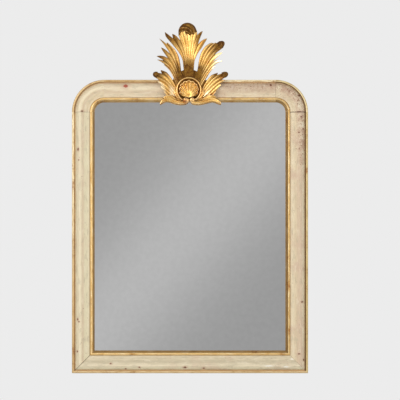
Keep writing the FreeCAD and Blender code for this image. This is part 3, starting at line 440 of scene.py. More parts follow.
def leaf(ribs):
    """A broad leaf, fluted along its ribs, with a pointed tip at each rib's end."""
    notches, root_shades, tip_shades, stations = zip(*ribs)
    notches = np.array(notches)
    curves = [smooth_rows(crest_place(*np.transpose(rib) / PER_MILLE), LEAF_ROWS) for rib in stations]
    curves = np.array(curves)
    last = len(ribs) - 1
    u = np.linspace(-LEAF_EDGE_SHARE, last + LEAF_EDGE_SHARE, LEAF_COLUMNS * (last + 1) + 1)
    near = np.clip(np.floor(u), 0, last - 1).astype(int)
    part = (u - near)[:, None, None]
    off = np.abs(u - np.clip(np.round(u), 0, last))
    notch = np.where(u > last, notches[last], notches[near])
    reach = 1 - notch * (2 * off) ** LEAF_TIP_POWER
    along = reach[:, None] * np.linspace(0.0, 1.0, LEAF_ROWS)[None, :]
    row = np.clip((along * (LEAF_ROWS - 1)).astype(int), 0, LEAF_ROWS - 2)
    step = (along * (LEAF_ROWS - 1) - row)[:, :, None]
    near = near[:, None]
    low = curves[near, row] * (1 - step) + curves[near, row + 1] * step
    high = curves[near + 1, row] * (1 - step) + curves[near + 1, row + 1] * step
    sheet = low * (1 - part) + high * part
    spacing = np.minimum(np.linalg.norm(high - low, axis=2), FLUTE_WIDEST)
    ridges = np.cos(math.pi * (u[:, None] + sway(along, u[:, None]))) ** 2
    rise = FLUTE_SHARE * spacing * reeding(ridges) * (1 - FLUTE_FADE_SHARE * along)
    thick = LEAF_THICKNESS * (1 - LEAF_THINNING_SHARE * along)
    front = sheet + FORWARD * rise[:, :, None]
    back = sheet - FORWARD * thick[:, :, None]
    root, tip = (np.interp(u, np.arange(last + 1), shades)[:, None] for shades in (root_shades, tip_shades))
    inside = (u > 0) & (u < last)
    lines = smooth_step(ridges, LINE_SHARE, 0.0) * inside[:, None]
    return marked_plate(front, back, painted_shade_along(along, root, tip), lines)


def hood_part(middle_share, rise_share, turn, side_share, up_share, back_share, front_share):
    """An oval dome of leaf that curls over a leaf's face, with twisted ribs and a hanging tongue."""
    out = np.sin(np.linspace(-1, 1, HOOD_COLUMNS) * math.pi / 2)[:, None]
    low = np.interp(out, *np.transpose(HOOD_EDGE_SHARES))
    high = np.maximum(np.sqrt(1 - out ** 2), low + HOOD_LEAST_SHARE)
    up = low + (high - low) * np.sin(np.linspace(0, 1, HOOD_ROWS) * math.pi / 2)[None, :]
    bulge = np.sqrt(np.maximum(0.0, 1 - out ** 2 - up ** 2))
    tongue_out, tongue_up = HOOD_TONGUE_SHARES
    fan_out, fan_up = out - tongue_out, up - tongue_up
    fan = np.arctan2(fan_out, fan_up) + HOOD_TWIST * np.hypot(fan_out, fan_up)
    flutes = np.abs(np.sin(fan * HOOD_VEINS))
    from_rim = np.minimum(1, bulge * HOOD_VEIN_RISE)
    lines = smooth_step(flutes, HOOD_LINE_SHARE, 0.0) * from_rim
    half_width, half_height = side_share * CREST_WIDTH, up_share * CREST_HEIGHT
    valley = HOOD_VEIN_SHARE * (1 - flutes ** HOOD_VEIN_POWER) * from_rim * half_width
    lean = math.radians(turn)
    across = out * half_width * math.cos(lean) + up * half_height * math.sin(lean)
    above = up * half_height * math.cos(lean) - out * half_width * math.sin(lean)
    dome = crest_place(middle_share, rise_share, back_share + (front_share - back_share) * bulge)
    shape = np.stack([across, valley, above], axis=-1)
    back = dome + shape * HOOD_INNER_SHARE - FORWARD * HOOD_THICKNESS
    shade = HOOD_SHADE * (1 - HOOD_RIB_LIGHT_SHARE * flutes ** HOOD_RIB_LIGHT_POWER)
    return marked_plate(dome + shape, back, shade, lines)


# Cartouche parts, without marks
def ring_part():
    """A half-round band round the shell, open below."""
    mouth = math.radians(RING_MOUTH_ANGLE)
    start = mouth / 2 - math.pi / 2
    out = facing(np.linspace(start, start + 2 * math.pi - mouth, RING_ROWS))
    around = circle(RING_SIDES)
    away = RING_OUTER_RADIUS - RING_BAND_WIDTH / 2 * (1 - np.cos(around))
    rise = RING_BAND_RISE * np.sin(around)
    rise[rise < 0] *= RING_BACK_SHARE
    return tube(hub_place(RING_CENTRE_SHARES) + out[:, None] * away[:, None] + FORWARD * rise[:, None])


def shell_part():
    """A domed fan of hollow lobes with a raised scalloped lip."""
    share = np.linspace(0, 1, SHELL_LOBE_COLUMNS * SHELL_LOBES + 1)[:, None]
    along = np.linspace(SHELL_START_SHARE, 1, SHELL_ROWS)[None, :]
    turn = math.radians(SHELL_SPREAD_ANGLE) * (share - 0.5)
    lobe = np.abs(np.sin(math.pi * SHELL_LOBES * share))
    radius = SHELL_RADIUS * (1 - SHELL_SCALLOP_SHARE * (1 - lobe))
    x = radius * np.sin(turn) * along
    z = (radius * np.cos(turn) + SHELL_HINGE_DROP) * along
    least, hinge_reach = SHELL_HINGE_SHARES
    by_hinge = least + (1 - least) * np.minimum(1, along / hinge_reach)
    dome = SHELL_DOME * np.sqrt(1 - (SHELL_DOME_SHARE * along) ** 2) * by_hinge
    start, deep, shallow, end = SHELL_HOLLOW_SHARES
    hollow = SHELL_HOLLOW * lobe * smooth_step(along, start, deep) * smooth_step(along, end, shallow)
    lip_middle, lip_spread = SHELL_LIP_SHARES
    lip = SHELL_LIP * np.exp(-((along - lip_middle) / lip_spread) ** 2)
    hinge = hub_place(RING_CENTRE_SHARES) - np.array((0, 0, SHELL_HINGE_DROP))
    flat = hinge + np.stack([x, np.zeros_like(x), z], axis=-1)
    face = flat + FORWARD * (dome - hollow + lip + SHELL_FLOOR)[..., None]
    return plate(face, flat - FORWARD * SHELL_FLOOR)


def volute_part(name):
    """A spiral roll that climbs to its eye."""
    share = np.linspace(0, 1, VOLUTE_ROWS)[:, None]
    out = facing(VOLUTE_WAYS[name] * 2 * math.pi * VOLUTE_TURNS * share[:, 0] - math.pi / 2)
    away = (VOLUTE_RADIUS - VOLUTE_WIRE) * (1 - share) ** VOLUTE_TIGHTENING
    rise = VOLUTE_RISE * (VOLUTE_START_SHARE + (1 - VOLUTE_START_SHARE) * share)
    line = hub_place(VOLUTE_SHARES[name]) + out * away + FORWARD * rise
    wire = (VOLUTE_WIRE * (1 - VOLUTE_TAPER_SHARE * share))[:, :, None]
    around = circle(VOLUTE_SIDES)[None, :, None]
    return tube(line[:, None] + wire * (np.cos(around) * out[:, None] + np.sin(around) * FORWARD))


def button_part(name):
    """The domed button under a volute."""
    out = facing(circle(BUTTON_SIDES)) * VOLUTE_RADIUS
    middle = hub_place(VOLUTE_SHARES[name])
    rise = FORWARD * VOLUTE_RISE * BUTTON_RISE_SHARE
    turns = np.linspace(0, math.pi / 2, BUTTON_ROWS)
    rings = [middle + out - FORWARD * VOLUTE_WIRE]
    rings += [middle + out * math.cos(turn) + rise * math.sin(turn) for turn in turns]
    return tube(np.array(rings))


def hub_part():
    """A shield behind the ring, coved away to the roots of the leaves."""
    turns = facing(circle(HUB_SIDES))
    up = np.where(turns[:, 2] > 0, HUB_UP, HUB_DOWN)
    reach = turns * np.column_stack([np.full(HUB_SIDES, HUB_SIDE), np.zeros(HUB_SIDES), up])
    middle = hub_place(RING_CENTRE_SHARES)
    rise = FORWARD * (HUB_FRONT - LEAF_BACK)
    back = FORWARD * (HUB_BACK - HUB_FRONT)
    rings = [middle + reach * out + rise * deep for out, deep in HUB_COVE_SHARES]
    rings += [middle + reach * out + back for out in HUB_BACK_SHARES]
    return tube(np.array(rings))


# Patina and painted shade: marks for hollows, for faces that look up, for painted shade and highlight, and
# for valley lines. A hollow is how far a point lies under the smoothed surface: a name, how many more steps
# to smooth, and a full hollow's depth.
HOLLOWS = (("fine_hollow", 5, 0.00020), ("wide_hollow", 35, 0.0014))
HOLLOW_BLUR = 6
# The first carried mark is painted shade, and painted highlight below zero.
CARRIED_MARKS = (("shade_and_highlight", 12), ("line", 4))


def read_numbers(items, name, width, kind=float):
    """A property of all mesh items, one row each."""
    numbers = np.empty(len(items) * width, kind)
    items.foreach_get(name, numbers)
    return numbers.reshape(-1, width)


def blurred(values, edges, steps):
    """Values at points, drawn half way to the mean of their neighbours in each step."""
    count = len(values)
    degree = np.maximum(np.bincount(edges.ravel(), minlength=count), 1)[:, None]
    for step in range(steps):
        total = np.zeros_like(values)
        for axis in range(values.shape[1]):
            ends = np.bincount(edges[:, 0], values[edges[:, 1], axis], count)
            starts = np.bincount(edges[:, 1], values[edges[:, 0], axis], count)
            total[:, axis] = ends + starts
        values = (values + total / degree) / 2
    return values


def mark_patina(mesh, sources, source_marks):
    """Write the marks on a carved mesh. Painted shade and lines come from the nearest source point."""
    points = read_numbers(mesh.vertices, "co", 3)
    normals = read_numbers(mesh.vertices, "normal", 3)
    edges = read_numbers(mesh.edges, "vertices", 2, int)
    marks = {"upward": normals[:, 2]}
    flat = points
    for name, steps, reach in HOLLOWS:
        flat = blurred(flat, edges, steps)
        hollow = np.clip(((flat - points) * normals).sum(1) / reach, -1, 1)
        marks[name] = blurred(hollow[:, None], edges, HOLLOW_BLUR)
    tree = KDTree(len(sources))
    for i, source in enumerate(sources):
        tree.insert(source, i)
    tree.balance()
    carried = source_marks[[tree.find(point)[1] for point in points]]
    for column, (name, steps) in enumerate(CARRIED_MARKS):
        marks[name] = blurred(carried[:, column:column + 1], edges, steps)
    for name, values in marks.items():
        mark = mesh.attributes.new(name, "FLOAT", "POINT")
        mark.data.foreach_set("value", values.ravel().astype(np.float32))


# Carved pieces
def joined(parts):
    """Several parts as one."""
    points, faces, marks, first = [], [], [], 0
    for part_points, part_faces, part_marks in parts:
        points.append(part_points)
        marks.append(part_marks)
        faces += [tuple(first + i for i in face) for face in part_faces]
        first += len(part_points)
    return np.concatenate(points), faces, np.concatenate(marks)


def turn_outward(mesh):
    shell = bmesh.new()
    shell.from_mesh(mesh)
    bmesh.ops.recalc_face_normals(shell, faces=shell.faces)
    shell.to_mesh(mesh)
    shell.free()


def apply_modifiers(obj):
    graph = bpy.context.evaluated_depsgraph_get()
    mesh = bpy.data.meshes.new_from_object(obj.evaluated_get(graph))
    obj.modifiers.clear()
    obj.data = mesh


def carve(name, parts):
    """One carved piece: the parts grown together, softened as by a carver's rasp and gesso."""
    points, faces, marks = joined(parts)
    obj = mesh_object("carved_" + name, points, faces)
    turn_outward(obj.data)
    union = obj.modifiers.new("union", "REMESH")
    union.mode = "VOXEL"
    union.voxel_size = VOXEL
    union.use_smooth_shade = True
    soften = obj.modifiers.new("soften", "SMOOTH")
    soften.factor = SOFTEN_SHARE
    soften.iterations = SOFTEN_STEPS
    thin = obj.modifiers.new("thin", "DECIMATE")
    thin.ratio = KEEP_SHARE
    apply_modifiers(obj)
    mark_patina(obj.data, points, marks)
    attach(obj, FRAME_BODY)
    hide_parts(name)
    return obj


def build_crest():
    """All carved pieces, each named after the node that it stands for."""
    leaves = {
        "crest_plume": PLUME_SHARES,
        "crest_left_leaf": LEFT_LEAF_SHARES,
        "crest_right_leaf": RIGHT_LEAF_SHARES,
        "crest_left_lower_leaf": LEFT_LOWER_SHARES,
        "crest_right_lower_leaf": RIGHT_LOWER_SHARES,
    }
    tails = {"crest_left_tail": LEFT_TAIL_SHARES, "crest_right_tail": RIGHT_TAIL_SHARES}
    parts = {name: [leaf(ribs)] for name, ribs in leaves.items()}
    parts.update({name: [blade(*shares) for shares in bundle] for name, bundle in tails.items()})
    for name, hood in HOOD_SHARES.items():
        parts[name].append(hood_part(*hood))
    parts["crest_hub"] = [even_shade(hub_part(), HUB_SHADE)]
    parts["crest_cartouche_ring"] = [even_shade(ring_part(), 0.0)]
    parts["crest_shell"] = [even_shade(shell_part(), 0.0)]
    for name in VOLUTE_SHARES:
        parts[name] = [even_shade(button_part(name), BUTTON_SHADE), even_shade(volute_part(name), 0.0)]
    return [carve(name, made) for name, made in parts.items()]


# Material helpers
class Value:
    """What a node gives, for plain sums with other values and with constants."""

    def __init__(self, nodes, socket):
        self.nodes = nodes
        self.socket = socket

    def __add__(self, other):
        return self.nodes.math("ADD", self, other)

    def __sub__(self, other):
        return self.nodes.math("SUBTRACT", self, other)

    def __rsub__(self, other):
        return self.nodes.math("SUBTRACT", other, self)

    def __mul__(self, other):
        return self.nodes.math("MULTIPLY", self, other)

    def __truediv__(self, other):
        return self.nodes.math("DIVIDE", self, other)

    def __abs__(self):
        return self.nodes.math("ABSOLUTE", self)


class Nodes:
    """A node tree, with short calls for the nodes that it needs."""

    def __init__(self, tree):
        self.tree = tree
        tree.nodes.clear()

    def set(self, socket, value):
        """Link a socket, or write a constant on it."""
        if isinstance(value, Value):
            self.tree.links.new(value.socket, socket)
        elif socket.type == "RGBA":
            socket.default_value = (*value, 1.0)
        else:
            socket.default_value = value

    def add(self, kind, inputs=(), output=0, **settings):
        """A new node, with inputs in order or in a dictionary by name or number, as one of its outputs."""
        made = self.tree.nodes.new(kind)
        for name, value in settings.items():
            setattr(made, name, value)
        for key, value in inputs.items() if isinstance(inputs, dict) else enumerate(inputs):
            self.set(made.inputs[key], value)
        return Value(self, made.outputs[output])

    def math(self, operation, *values):
        return self.add("ShaderNodeMath", values, operation=operation)

    def most(self, first, *others):
        for other in others:
            first = self.math("MAXIMUM", first, other)
        return first

    def least(self, first, *others):
        for other in others:
            first = self.math("MINIMUM", first, other)
        return first

    def length(self, a, b):
        return self.math("SQRT", a * a + b * b)

    def place(self):
        return self.add("ShaderNodeTexCoord", (), "Object")

    def mark(self, name):
        return self.add("ShaderNodeAttribute", (), "Fac", attribute_name=name)

    def split(self, vector):
        made = self.add("ShaderNodeSeparateXYZ", (vector,))
        return [Value(self, socket) for socket in made.socket.node.outputs]

    def join(self, x, y, z):
        return self.add("ShaderNodeCombineXYZ", (x, y, z))

    def noise(self, vector, scale, detail=4, rough=0.55, twist=0):
        look = {"Scale": scale, "Detail": detail, "Roughness": rough, "Distortion": twist}
        return self.add("ShaderNodeTexNoise", {"Vector": vector, **look}, "Fac")

    def fade(self, value, low, high, start=0.0, end=1.0):
        """A smooth step from start to end as the value goes from low to high."""
        inputs = (value, low, high, start, end)
        return self.add("ShaderNodeMapRange", inputs, interpolation_type="SMOOTHSTEP")

    def mix(self, share, a, b):
        """Colour a where the share is 0, colour b where it is 1."""
        return self.add("ShaderNodeMix", {0: share, 6: a, 7: b}, 2, data_type="RGBA")

    def mix_shader(self, share, a, b):
        return self.add("ShaderNodeMixShader", (share, a, b))

    def bump(self, height, distance, strength):
        inputs = {"Height": height, "Distance": distance, "Strength": strength}
        return self.add("ShaderNodeBump", inputs)

    def rearward(self):
        """1 on faces that look to the wall, 0 on the rest."""
        return self.fade(self.split(self.add("ShaderNodeNewGeometry", (), "Normal"))[1], 0.35, 0.55)

    def seen(self):
        """1 for rays that show a surface, straight or in a reflection, 0 for rays that only light things."""
        rays = ("Is Camera Ray", "Is Glossy Ray", "Is Transmission Ray")
        return self.most(*(self.add("ShaderNodeLightPath", (), ray) for ray in rays))


class Shade(Nodes):
    """The node tree of a new material with one principled surface."""

    def __init__(self, name):
        self.material = bpy.data.materials.new(name)
        self.material.use_nodes = True
        super().__init__(self.material.node_tree)
        self.out = self.tree.nodes.new("ShaderNodeOutputMaterial").inputs["Surface"]
        self.surface = self.add("ShaderNodeBsdfPrincipled")
        self.set(self.out, self.surface)

    def give(self, inputs):
        for name, value in inputs.items():
            self.set(self.surface.socket.node.inputs[name], value)

    def finish(self, colour, rough, normal, metal=0.0):
        self.give({"Base Color": colour, "Roughness": rough, "Normal": normal, "Metallic": metal})
        return self.material


def rgb(red, green, blue):
    """A colour as a screen shows it, 0 to 255, in the linear values that shaders take."""
    shares = [value / 255 for value in (red, green, blue)]
    return tuple(s / 12.92 if s <= 0.04045 else ((s + 0.055) / 1.055) ** 2.4 for s in shares)


# Mouldings, as in the construction
BEAD_WIDTH = 0.008
FIELD_INSET = 0.011
SLIP_INSET = 0.058
SLIP_BEAD_WIDTH = 0.009

# Gilding on the carving: leaf, painted highlight, bole, smut and painted shade, and the wash on its back
GOLD_TONES = (rgb(232, 186, 106), rgb(208, 148, 66))
GOLD_HIGHLIGHT = rgb(255, 234, 190)
GOLD_BOLE = rgb(150, 70, 32)
SMUT_AND_SHADE_TONES = (rgb(82, 46, 12), rgb(124, 88, 30))
WASH_TONES = (rgb(150, 108, 58), rgb(190, 148, 88))
WASH_STAIN = rgb(104, 70, 36)
WASH_STRETCH = 0.25
CARVED_BUMP = 0.0004

# Gilding on the mouldings. The right side has golds of its own; the slip's is a shade darker as painted
# shade.
BEAD_GOLD = (rgb(206, 174, 124), rgb(188, 152, 98))
BEAD_RIGHT_GOLD = (rgb(204, 180, 122), rgb(188, 162, 104))
SLIP_GOLD = (rgb(226, 188, 122), rgb(208, 166, 98))
SLIP_RIGHT_SHADED_GOLD = (rgb(208, 172, 110), rgb(190, 150, 86))
GILT_PALE = rgb(246, 230, 190)
GILT_BOLE = rgb(150, 90, 48)
GILT_DIRT_AND_SHADE = rgb(98, 66, 24)
GILT_STRETCH = 9.0
GILT_BUMP = 0.0003

# Outer bead: painted highlight at the start and the end of a span along it, and a darker line at its foot
BEAD_HIGHLIGHT_SPAN = (-0.25, 0.20)
BEAD_FOOT_SHARES = (0.68, 0.95)
BEAD_HIGHLIGHT_AND_FOOT = {
    "left": (0.05, 0.9, 0.1),
    "right": (0.1, 0.2, 0.9),
    "top": (0.0, 1.3, 0.2),
    "bottom": (0.45, 0.45, 0.0),
    "left_corner": (0.2, 0.2, 0.3),
    "right_corner": (0.6, 0.6, 0.9),
}

# Sight slip: a darker line at its foot, the inset where its slope to the glass begins, and painted shade on
# the slope
SLIP_FOOT_SHARE = 0.55
SLIP_BLUR_SHARE = 0.25
SLIP_FOOT_LINE_AND_SLOPE_SHADE = {
    "left": (0.60, 0.0675, 0.95),
    "right": (0.25, 0.0650, 0.90),
    "top": (0.10, 0.0665, 0.62),
    "bottom": (0.12, 0.0660, 0.88),
    "left_corner": (0.25, 0.0670, 0.80),
    "right_corner": (0.15, 0.0655, 0.75),
}

# Paint
PAINT_ROSE = rgb(206, 178, 152)
PAINT_PALE = rgb(238, 226, 200)
PAINT_GREY = rgb(188, 176, 148)
PAINT_DUST = rgb(196, 164, 136)
PAINT_DIRT = rgb(118, 76, 40)
PAINT_HIGHLIGHT = rgb(238, 223, 191)
PAINT_BARE = rgb(178, 142, 118)
PAINT_OCHRE = rgb(226, 184, 128)
PAINT_YELLOW = rgb(228, 219, 184)
PAINT_BUMP = 0.0006
# Cream for each side: the paint's own cream, a shade darker on the right and the bottom as painted shade.
SIDE_SHADED_CREAMS = {
    "left": (rgb(212, 197, 162), rgb(228, 215, 182)),
    "right": (rgb(208, 188, 154), rgb(226, 208, 174)),
    "top": (rgb(216, 196, 162), rgb(230, 214, 184)),
    "bottom": (rgb(204, 190, 158), rgb(222, 208, 178)),
    "left_corner": (rgb(216, 196, 160), rgb(230, 214, 182)),
    "right_corner": (rgb(212, 192, 158), rgb(228, 212, 180)),
}

# Where the paint is rosy, rubbed, bare or smeared: spans across, up and inwards in which that sets in
ROSY_SPAN = (-0.30, 0.28)
RUBBED_SPAN = (0.0, 0.25)
RUBBED_RISE = (0.10, 0.30)
RUBBED_INSETS = (0.044, 0.026)
BARE_SPAN = (0.09, 0.15)
BARE_INSETS = (0.046, 0.030)
SMEAR_SPAN = (-0.05, 0.20)

# How much finer the paint's strokes are across a length, and through its depth, than along it
STREAK_STRETCH = 12.0
STREAK_DEEP_STRETCH = 4.0
BRUSH_STRETCH = 30.0
DRIFT_STRETCH = 3.5
SMEAR_STRETCH = 5.0

# Bands along each length, of other tints and of painted highlight on the crown and slopes: middle inset,
# half-width, colour and strength
PAINT_BAND_EDGE_SHARES = (1.5, 0.5)
PAINT_BANDS = {
    "left": ((0.0275, 0.003, PAINT_HIGHLIGHT, 0.8), (0.0360, 0.003, PAINT_ROSE, 0.5),
             (0.0480, 0.007, PAINT_YELLOW, 0.8)),
    "right": ((0.0280, 0.009, PAINT_ROSE, 0.7), (0.0160, 0.004, PAINT_HIGHLIGHT, 0.5),
              (0.0495, 0.005, PAINT_HIGHLIGHT, 0.5)),
    "top": ((0.0300, 0.004, PAINT_HIGHLIGHT, 0.4), (0.0400, 0.004, PAINT_ROSE, 0.4)),
    "bottom": ((0.0390, 0.004, PAINT_GREY, 0.7), (0.0170, 0.004, PAINT_YELLOW, 0.8),
               (0.0265, 0.003, PAINT_HIGHLIGHT, 0.6)),
    "left_corner": ((0.0265, 0.004, PAINT_HIGHLIGHT, 0.8), (0.0360, 0.003, PAINT_ROSE, 0.5)),
    "right_corner": ((0.0265, 0.004, PAINT_HIGHLIGHT, 0.6), (0.0340, 0.006, PAINT_ROSE, 0.5)),
}

# Along the edges of the painted field: ochre in the quirk, partly painted light, darker in the groove, dirt
# by the slip; and the wash on the frame's outer edge
QUIRK_OCHRE_AND_LIGHT = 0.8
QUIRK_BLUR = 0.0010
GROOVE_DARKENING = {"left": 0.0, "right": 0.8, "top": 0.1, "bottom": 0.0, "left_corner": 0.3, "right_corner": 0.8}
SLIP_LINE_DIRT = 0.2
SLIP_LINE_WIDTH = 0.0016
EDGE_TONES = (rgb(176, 134, 80), rgb(206, 166, 108))
EDGE_SCUFF = rgb(214, 186, 140)
EDGE_DEEP = 0.0010

# Marks on the paint: middle across and up, half-width and half-height
CHIP_RED = rgb(172, 88, 66)
CHIPS = ((-0.2111, 0.4606, 0.0082, 0.0056),)
NICK_BROWN = rgb(112, 66, 44)
NICKS = (
    (0.2646, 0.4635, 0.0038, 0.0044), (-0.3535, 0.3781, 0.0035, 0.0025), (-0.3666, 0.2534, 0.0028, 0.0045),
    (-0.3644, 0.2183, 0.0018, 0.0018), (-0.3679, -0.3043, 0.002, 0.0035), (-0.3637, -0.3115, 0.0022, 0.002),
    (-0.369, -0.4093, 0.002, 0.0025), (0.3571, 0.4293, 0.005, 0.0022), (0.3578, 0.3758, 0.0075, 0.0022),
    (0.3644, 0.3594, 0.0035, 0.002), (0.3571, 0.3086, 0.003, 0.0022), (0.3709, 0.3201, 0.002, 0.003),
    (0.3673, -0.2472, 0.0035, 0.0025), (0.3571, -0.4172, 0.0035, 0.0022), (0.3726, -0.4369, 0.002, 0.0035),
    (-0.2596, -0.4494, 0.003, 0.002), (-0.2107, -0.4664, 0.0022, 0.0018), (-0.1658, -0.4612, 0.0028, 0.0018),
    (-0.0164, -0.4612, 0.005, 0.0028), (0.0453, -0.4641, 0.004, 0.0022),
)
GESSO_WHITE = rgb(246, 242, 230)
SCRAPES = (
    (0.2574, -0.4566, 0.012, 0.0016), (0.3151, -0.4596, 0.008, 0.0016), (0.3348, -0.4349, 0.004, 0.0016),
)
PAINT_MARKS = (
    (CHIPS, PAINT_ROSE, CHIP_RED), (NICKS, PAINT_DUST, NICK_BROWN), (SCRAPES, PAINT_PALE, GESSO_WHITE),
)
MARK_TEAR = 1.4
MARK_EDGE_SHARES = (1.15, 0.75)
MARK_HALO_SHARES = (3.0, 0.9)

# Open joints: how dark they are under the two corner blocks, beside the right one, and at the two mitres
CRACK_BROWN = rgb(74, 48, 30)
CRACK_WIDTH = 0.0016
CRACK_CORE_SHARE = 0.4
LEFT_CRACK = 0.35
RIGHT_CRACK = 0.95
TOP_CRACK = 0.5
MITRE_CRACKS = (0.8, 0.3)
MITRE_SPAN = (0.0, 0.1)

# Pine
PINE_TONES = (rgb(172, 128, 80), rgb(204, 164, 112))
PINE_LATE = rgb(150, 100, 56)
PINE_STAIN = rgb(112, 78, 46)
PINE_STRETCH = 0.07
PINE_FIGURE = 7.0
PINE_RINGS = 90.0
PINE_BUMP = 0.0005

# Metal and glass
STEEL_TONES = (rgb(120, 116, 110), rgb(92, 62, 42))
BRASS_TONES = (rgb(186, 148, 82), rgb(112, 84, 46))
SILVER_TONES = (rgb(246, 246, 246), rgb(250, 250, 250))
METAL_BUMP = 0.0002


# Carved gold. The numbers in a noise are its scale, detail, roughness and twist.
def carved_leaf(s, patches, grain, ridge, painted_highlight):
    """Gold leaf with painted highlight on ridges and marked spots, rubbed to red bole here and there."""
    leaf = s.mix(s.fade(patches, 0.35, 0.68), *GOLD_TONES)
    # Painted highlight on ridges and on the spots marked for it.
    leaf = s.mix(s.most(ridge * 0.8, painted_highlight * 0.9), leaf, GOLD_HIGHLIGHT)
    bole = s.fade(patches + grain * 0.35, 0.80, 0.92)
    return s.mix(bole * 0.8, leaf, GOLD_BOLE)


def carved_dirt_and_shade(s, place, patches, ridge, painted_highlight):
    """How brown the gold is: patina in hollows and valley lines, painted shade where marked and facing up.
    """
    dirt_and_shade = s.fade(s.mark("fine_hollow"), 0.1, 0.6, 0, 0.5) + s.fade(s.mark("wide_hollow"), 0, 0.7, 0, 0.6)
    dirt_and_shade = dirt_and_shade + s.fade(s.mark("line"), 0.1, 0.7, 0, 0.45)
    # Painted shade on faces that look up.
    dirt_and_shade = dirt_and_shade + s.fade(s.mark("upward"), 0.25, 0.8, 0, 0.85)
    # Painted shade marked at leaf roots, tips, hoods and the hub, less on ridges.
    dirt_and_shade = dirt_and_shade + s.most(s.mark("shade_and_highlight"), 0) * s.fade(ridge, 0.2, 1, 1, 0.65)
    glints = s.noise(place, 260, 5, 0.65)
    # Painted glints: spots where the darkening thins.
    dirt_and_shade = dirt_and_shade * s.fade(glints, 0.44, 0.72, 1, 0.62)
    dirt_and_shade = dirt_and_shade * s.fade(painted_highlight, 0, 1, 1, 0.35)
    return s.least(dirt_and_shade * s.fade(patches, 0.1, 0.7, 1.25, 0.85), 0.97)


def carved_gilt():
    """Carving gold with painted highlight and shade, patina in hollows, and a matt ochre wash on its back.
    """
    s = Shade("carved_gilt")
    place = s.place()
    patches = s.noise(place, 38, 5, 0.6, 0.3)
    grain = s.noise(place, 420, 3)
    ridge = s.fade(s.mark("fine_hollow"), 0, -0.8)
    # The carried mark below zero is painted highlight.
    painted_highlight = s.fade(s.mark("shade_and_highlight"), 0, -0.8)
    dirt_and_shade = carved_dirt_and_shade(s, place, patches, ridge, painted_highlight)
    smut_and_shade = s.mix(s.fade(s.noise(place, 90, 5, 0.65), 0.38, 0.66), *SMUT_AND_SHADE_TONES)
    front = s.mix(dirt_and_shade, carved_leaf(s, patches, grain, ridge, painted_highlight), smut_and_shade)
    x, y, z = s.split(place)
    cuts = s.noise(s.join(x, y, z * WASH_STRETCH), 150, 4, 0.6, 0.5)
    wash = s.mix(s.fade(cuts, 0.3, 0.7), *WASH_TONES)
    wash = s.mix(s.fade(patches, 0.5, 0.7, 0, 0.6), wash, WASH_STAIN)
    rear = s.rearward()
    colour = s.mix(rear, front, wash)
    metal = s.fade(rear, 0, 1, 0.92, 0)
    rough = s.fade(grain, 0.2, 0.8, 0.22, 0.36) + dirt_and_shade * 0.25 + rear * 0.45
    height = grain + rear * (cuts * 4.0)
    return s.finish(colour, rough, s.bump(height, CARVED_BUMP, 0.35), metal)


# Mouldings
def moulding_places(s, side):
    """A point's place on one length of moulding, with its inset and its distance along the length."""
    at = SimpleNamespace(place=s.place())
    at.x, at.y, at.z = s.split(at.place)
    at.along = at.z if side in ("left", "right") else at.x
    if side == "left":
        at.inset = at.x + FRAME_RIGHT
    elif side == "right":
        at.inset = FRAME_RIGHT - at.x
    elif side == "top":
        at.inset = FRAME_TOP - at.z
    elif side == "bottom":
        at.inset = at.z + FRAME_TOP
    else:
        out = at.x - (CORNER_LEFT if side == "left_corner" else -CORNER_LEFT)
        up = at.z - CORNER_FOOT
        at.inset = CORNER_RADIUS - s.length(out, up)
        at.along = s.math("ARCTAN2", out, up) * CORNER_RADIUS
    return at


def strokes(s, at, stretch, *settings):
    """Noise drawn out along the length."""
    return s.noise(s.join(at.inset * stretch, at.along, 0), *settings)


def worn_leaf(s, at, tones, pale):
    """Thin gold leaf, patchy, paled where the given share says, and rubbed to red-brown bole in spots."""
    patches = s.noise(at.place, 24, 6, 0.62)
    grain = s.noise(at.place, 520, 3)
    leaf = s.mix(s.fade(patches, 0.35, 0.65), *tones)
    leaf = s.mix(pale, leaf, GILT_PALE)
    worn = s.fade(patches + grain * 0.3, 0.72, 0.84)
    return s.mix(worn * 0.75, leaf, GILT_BOLE), patches, grain


def bead_gilt(side):
    """The outer bead: dull leaf, with painted highlight to the top right and up the left, a brown line at
    its foot.
    """
    s = Shade("bead_gilt_" + side)
    at = moulding_places(s, side)
    start_highlight, end_highlight, foot_darkening = BEAD_HIGHLIGHT_AND_FOOT[side]
    pale = s.fade(strokes(s, at, GILT_STRETCH, 34, 5, 0.6), 0.36, 0.60)
    # Painted highlight, stronger towards one end of the span.
    pale = pale * s.fade(at.along, *BEAD_HIGHLIGHT_SPAN, start_highlight, end_highlight)
    tones = BEAD_RIGHT_GOLD if side.startswith("right") else BEAD_GOLD
    leaf, patches, grain = worn_leaf(s, at, tones, pale)
    foot = s.fade(at.inset, *(BEAD_WIDTH * share for share in BEAD_FOOT_SHARES), 0, foot_darkening)
    colour = s.mix(foot * s.fade(patches, 0.3, 0.7, 1, 0.6), leaf, GILT_DIRT_AND_SHADE)
    rough = s.fade(grain, 0.2, 0.8, 0.40, 0.56)
    return s.finish(colour, rough, s.bump(grain, GILT_BUMP, 0.3), 0.6)


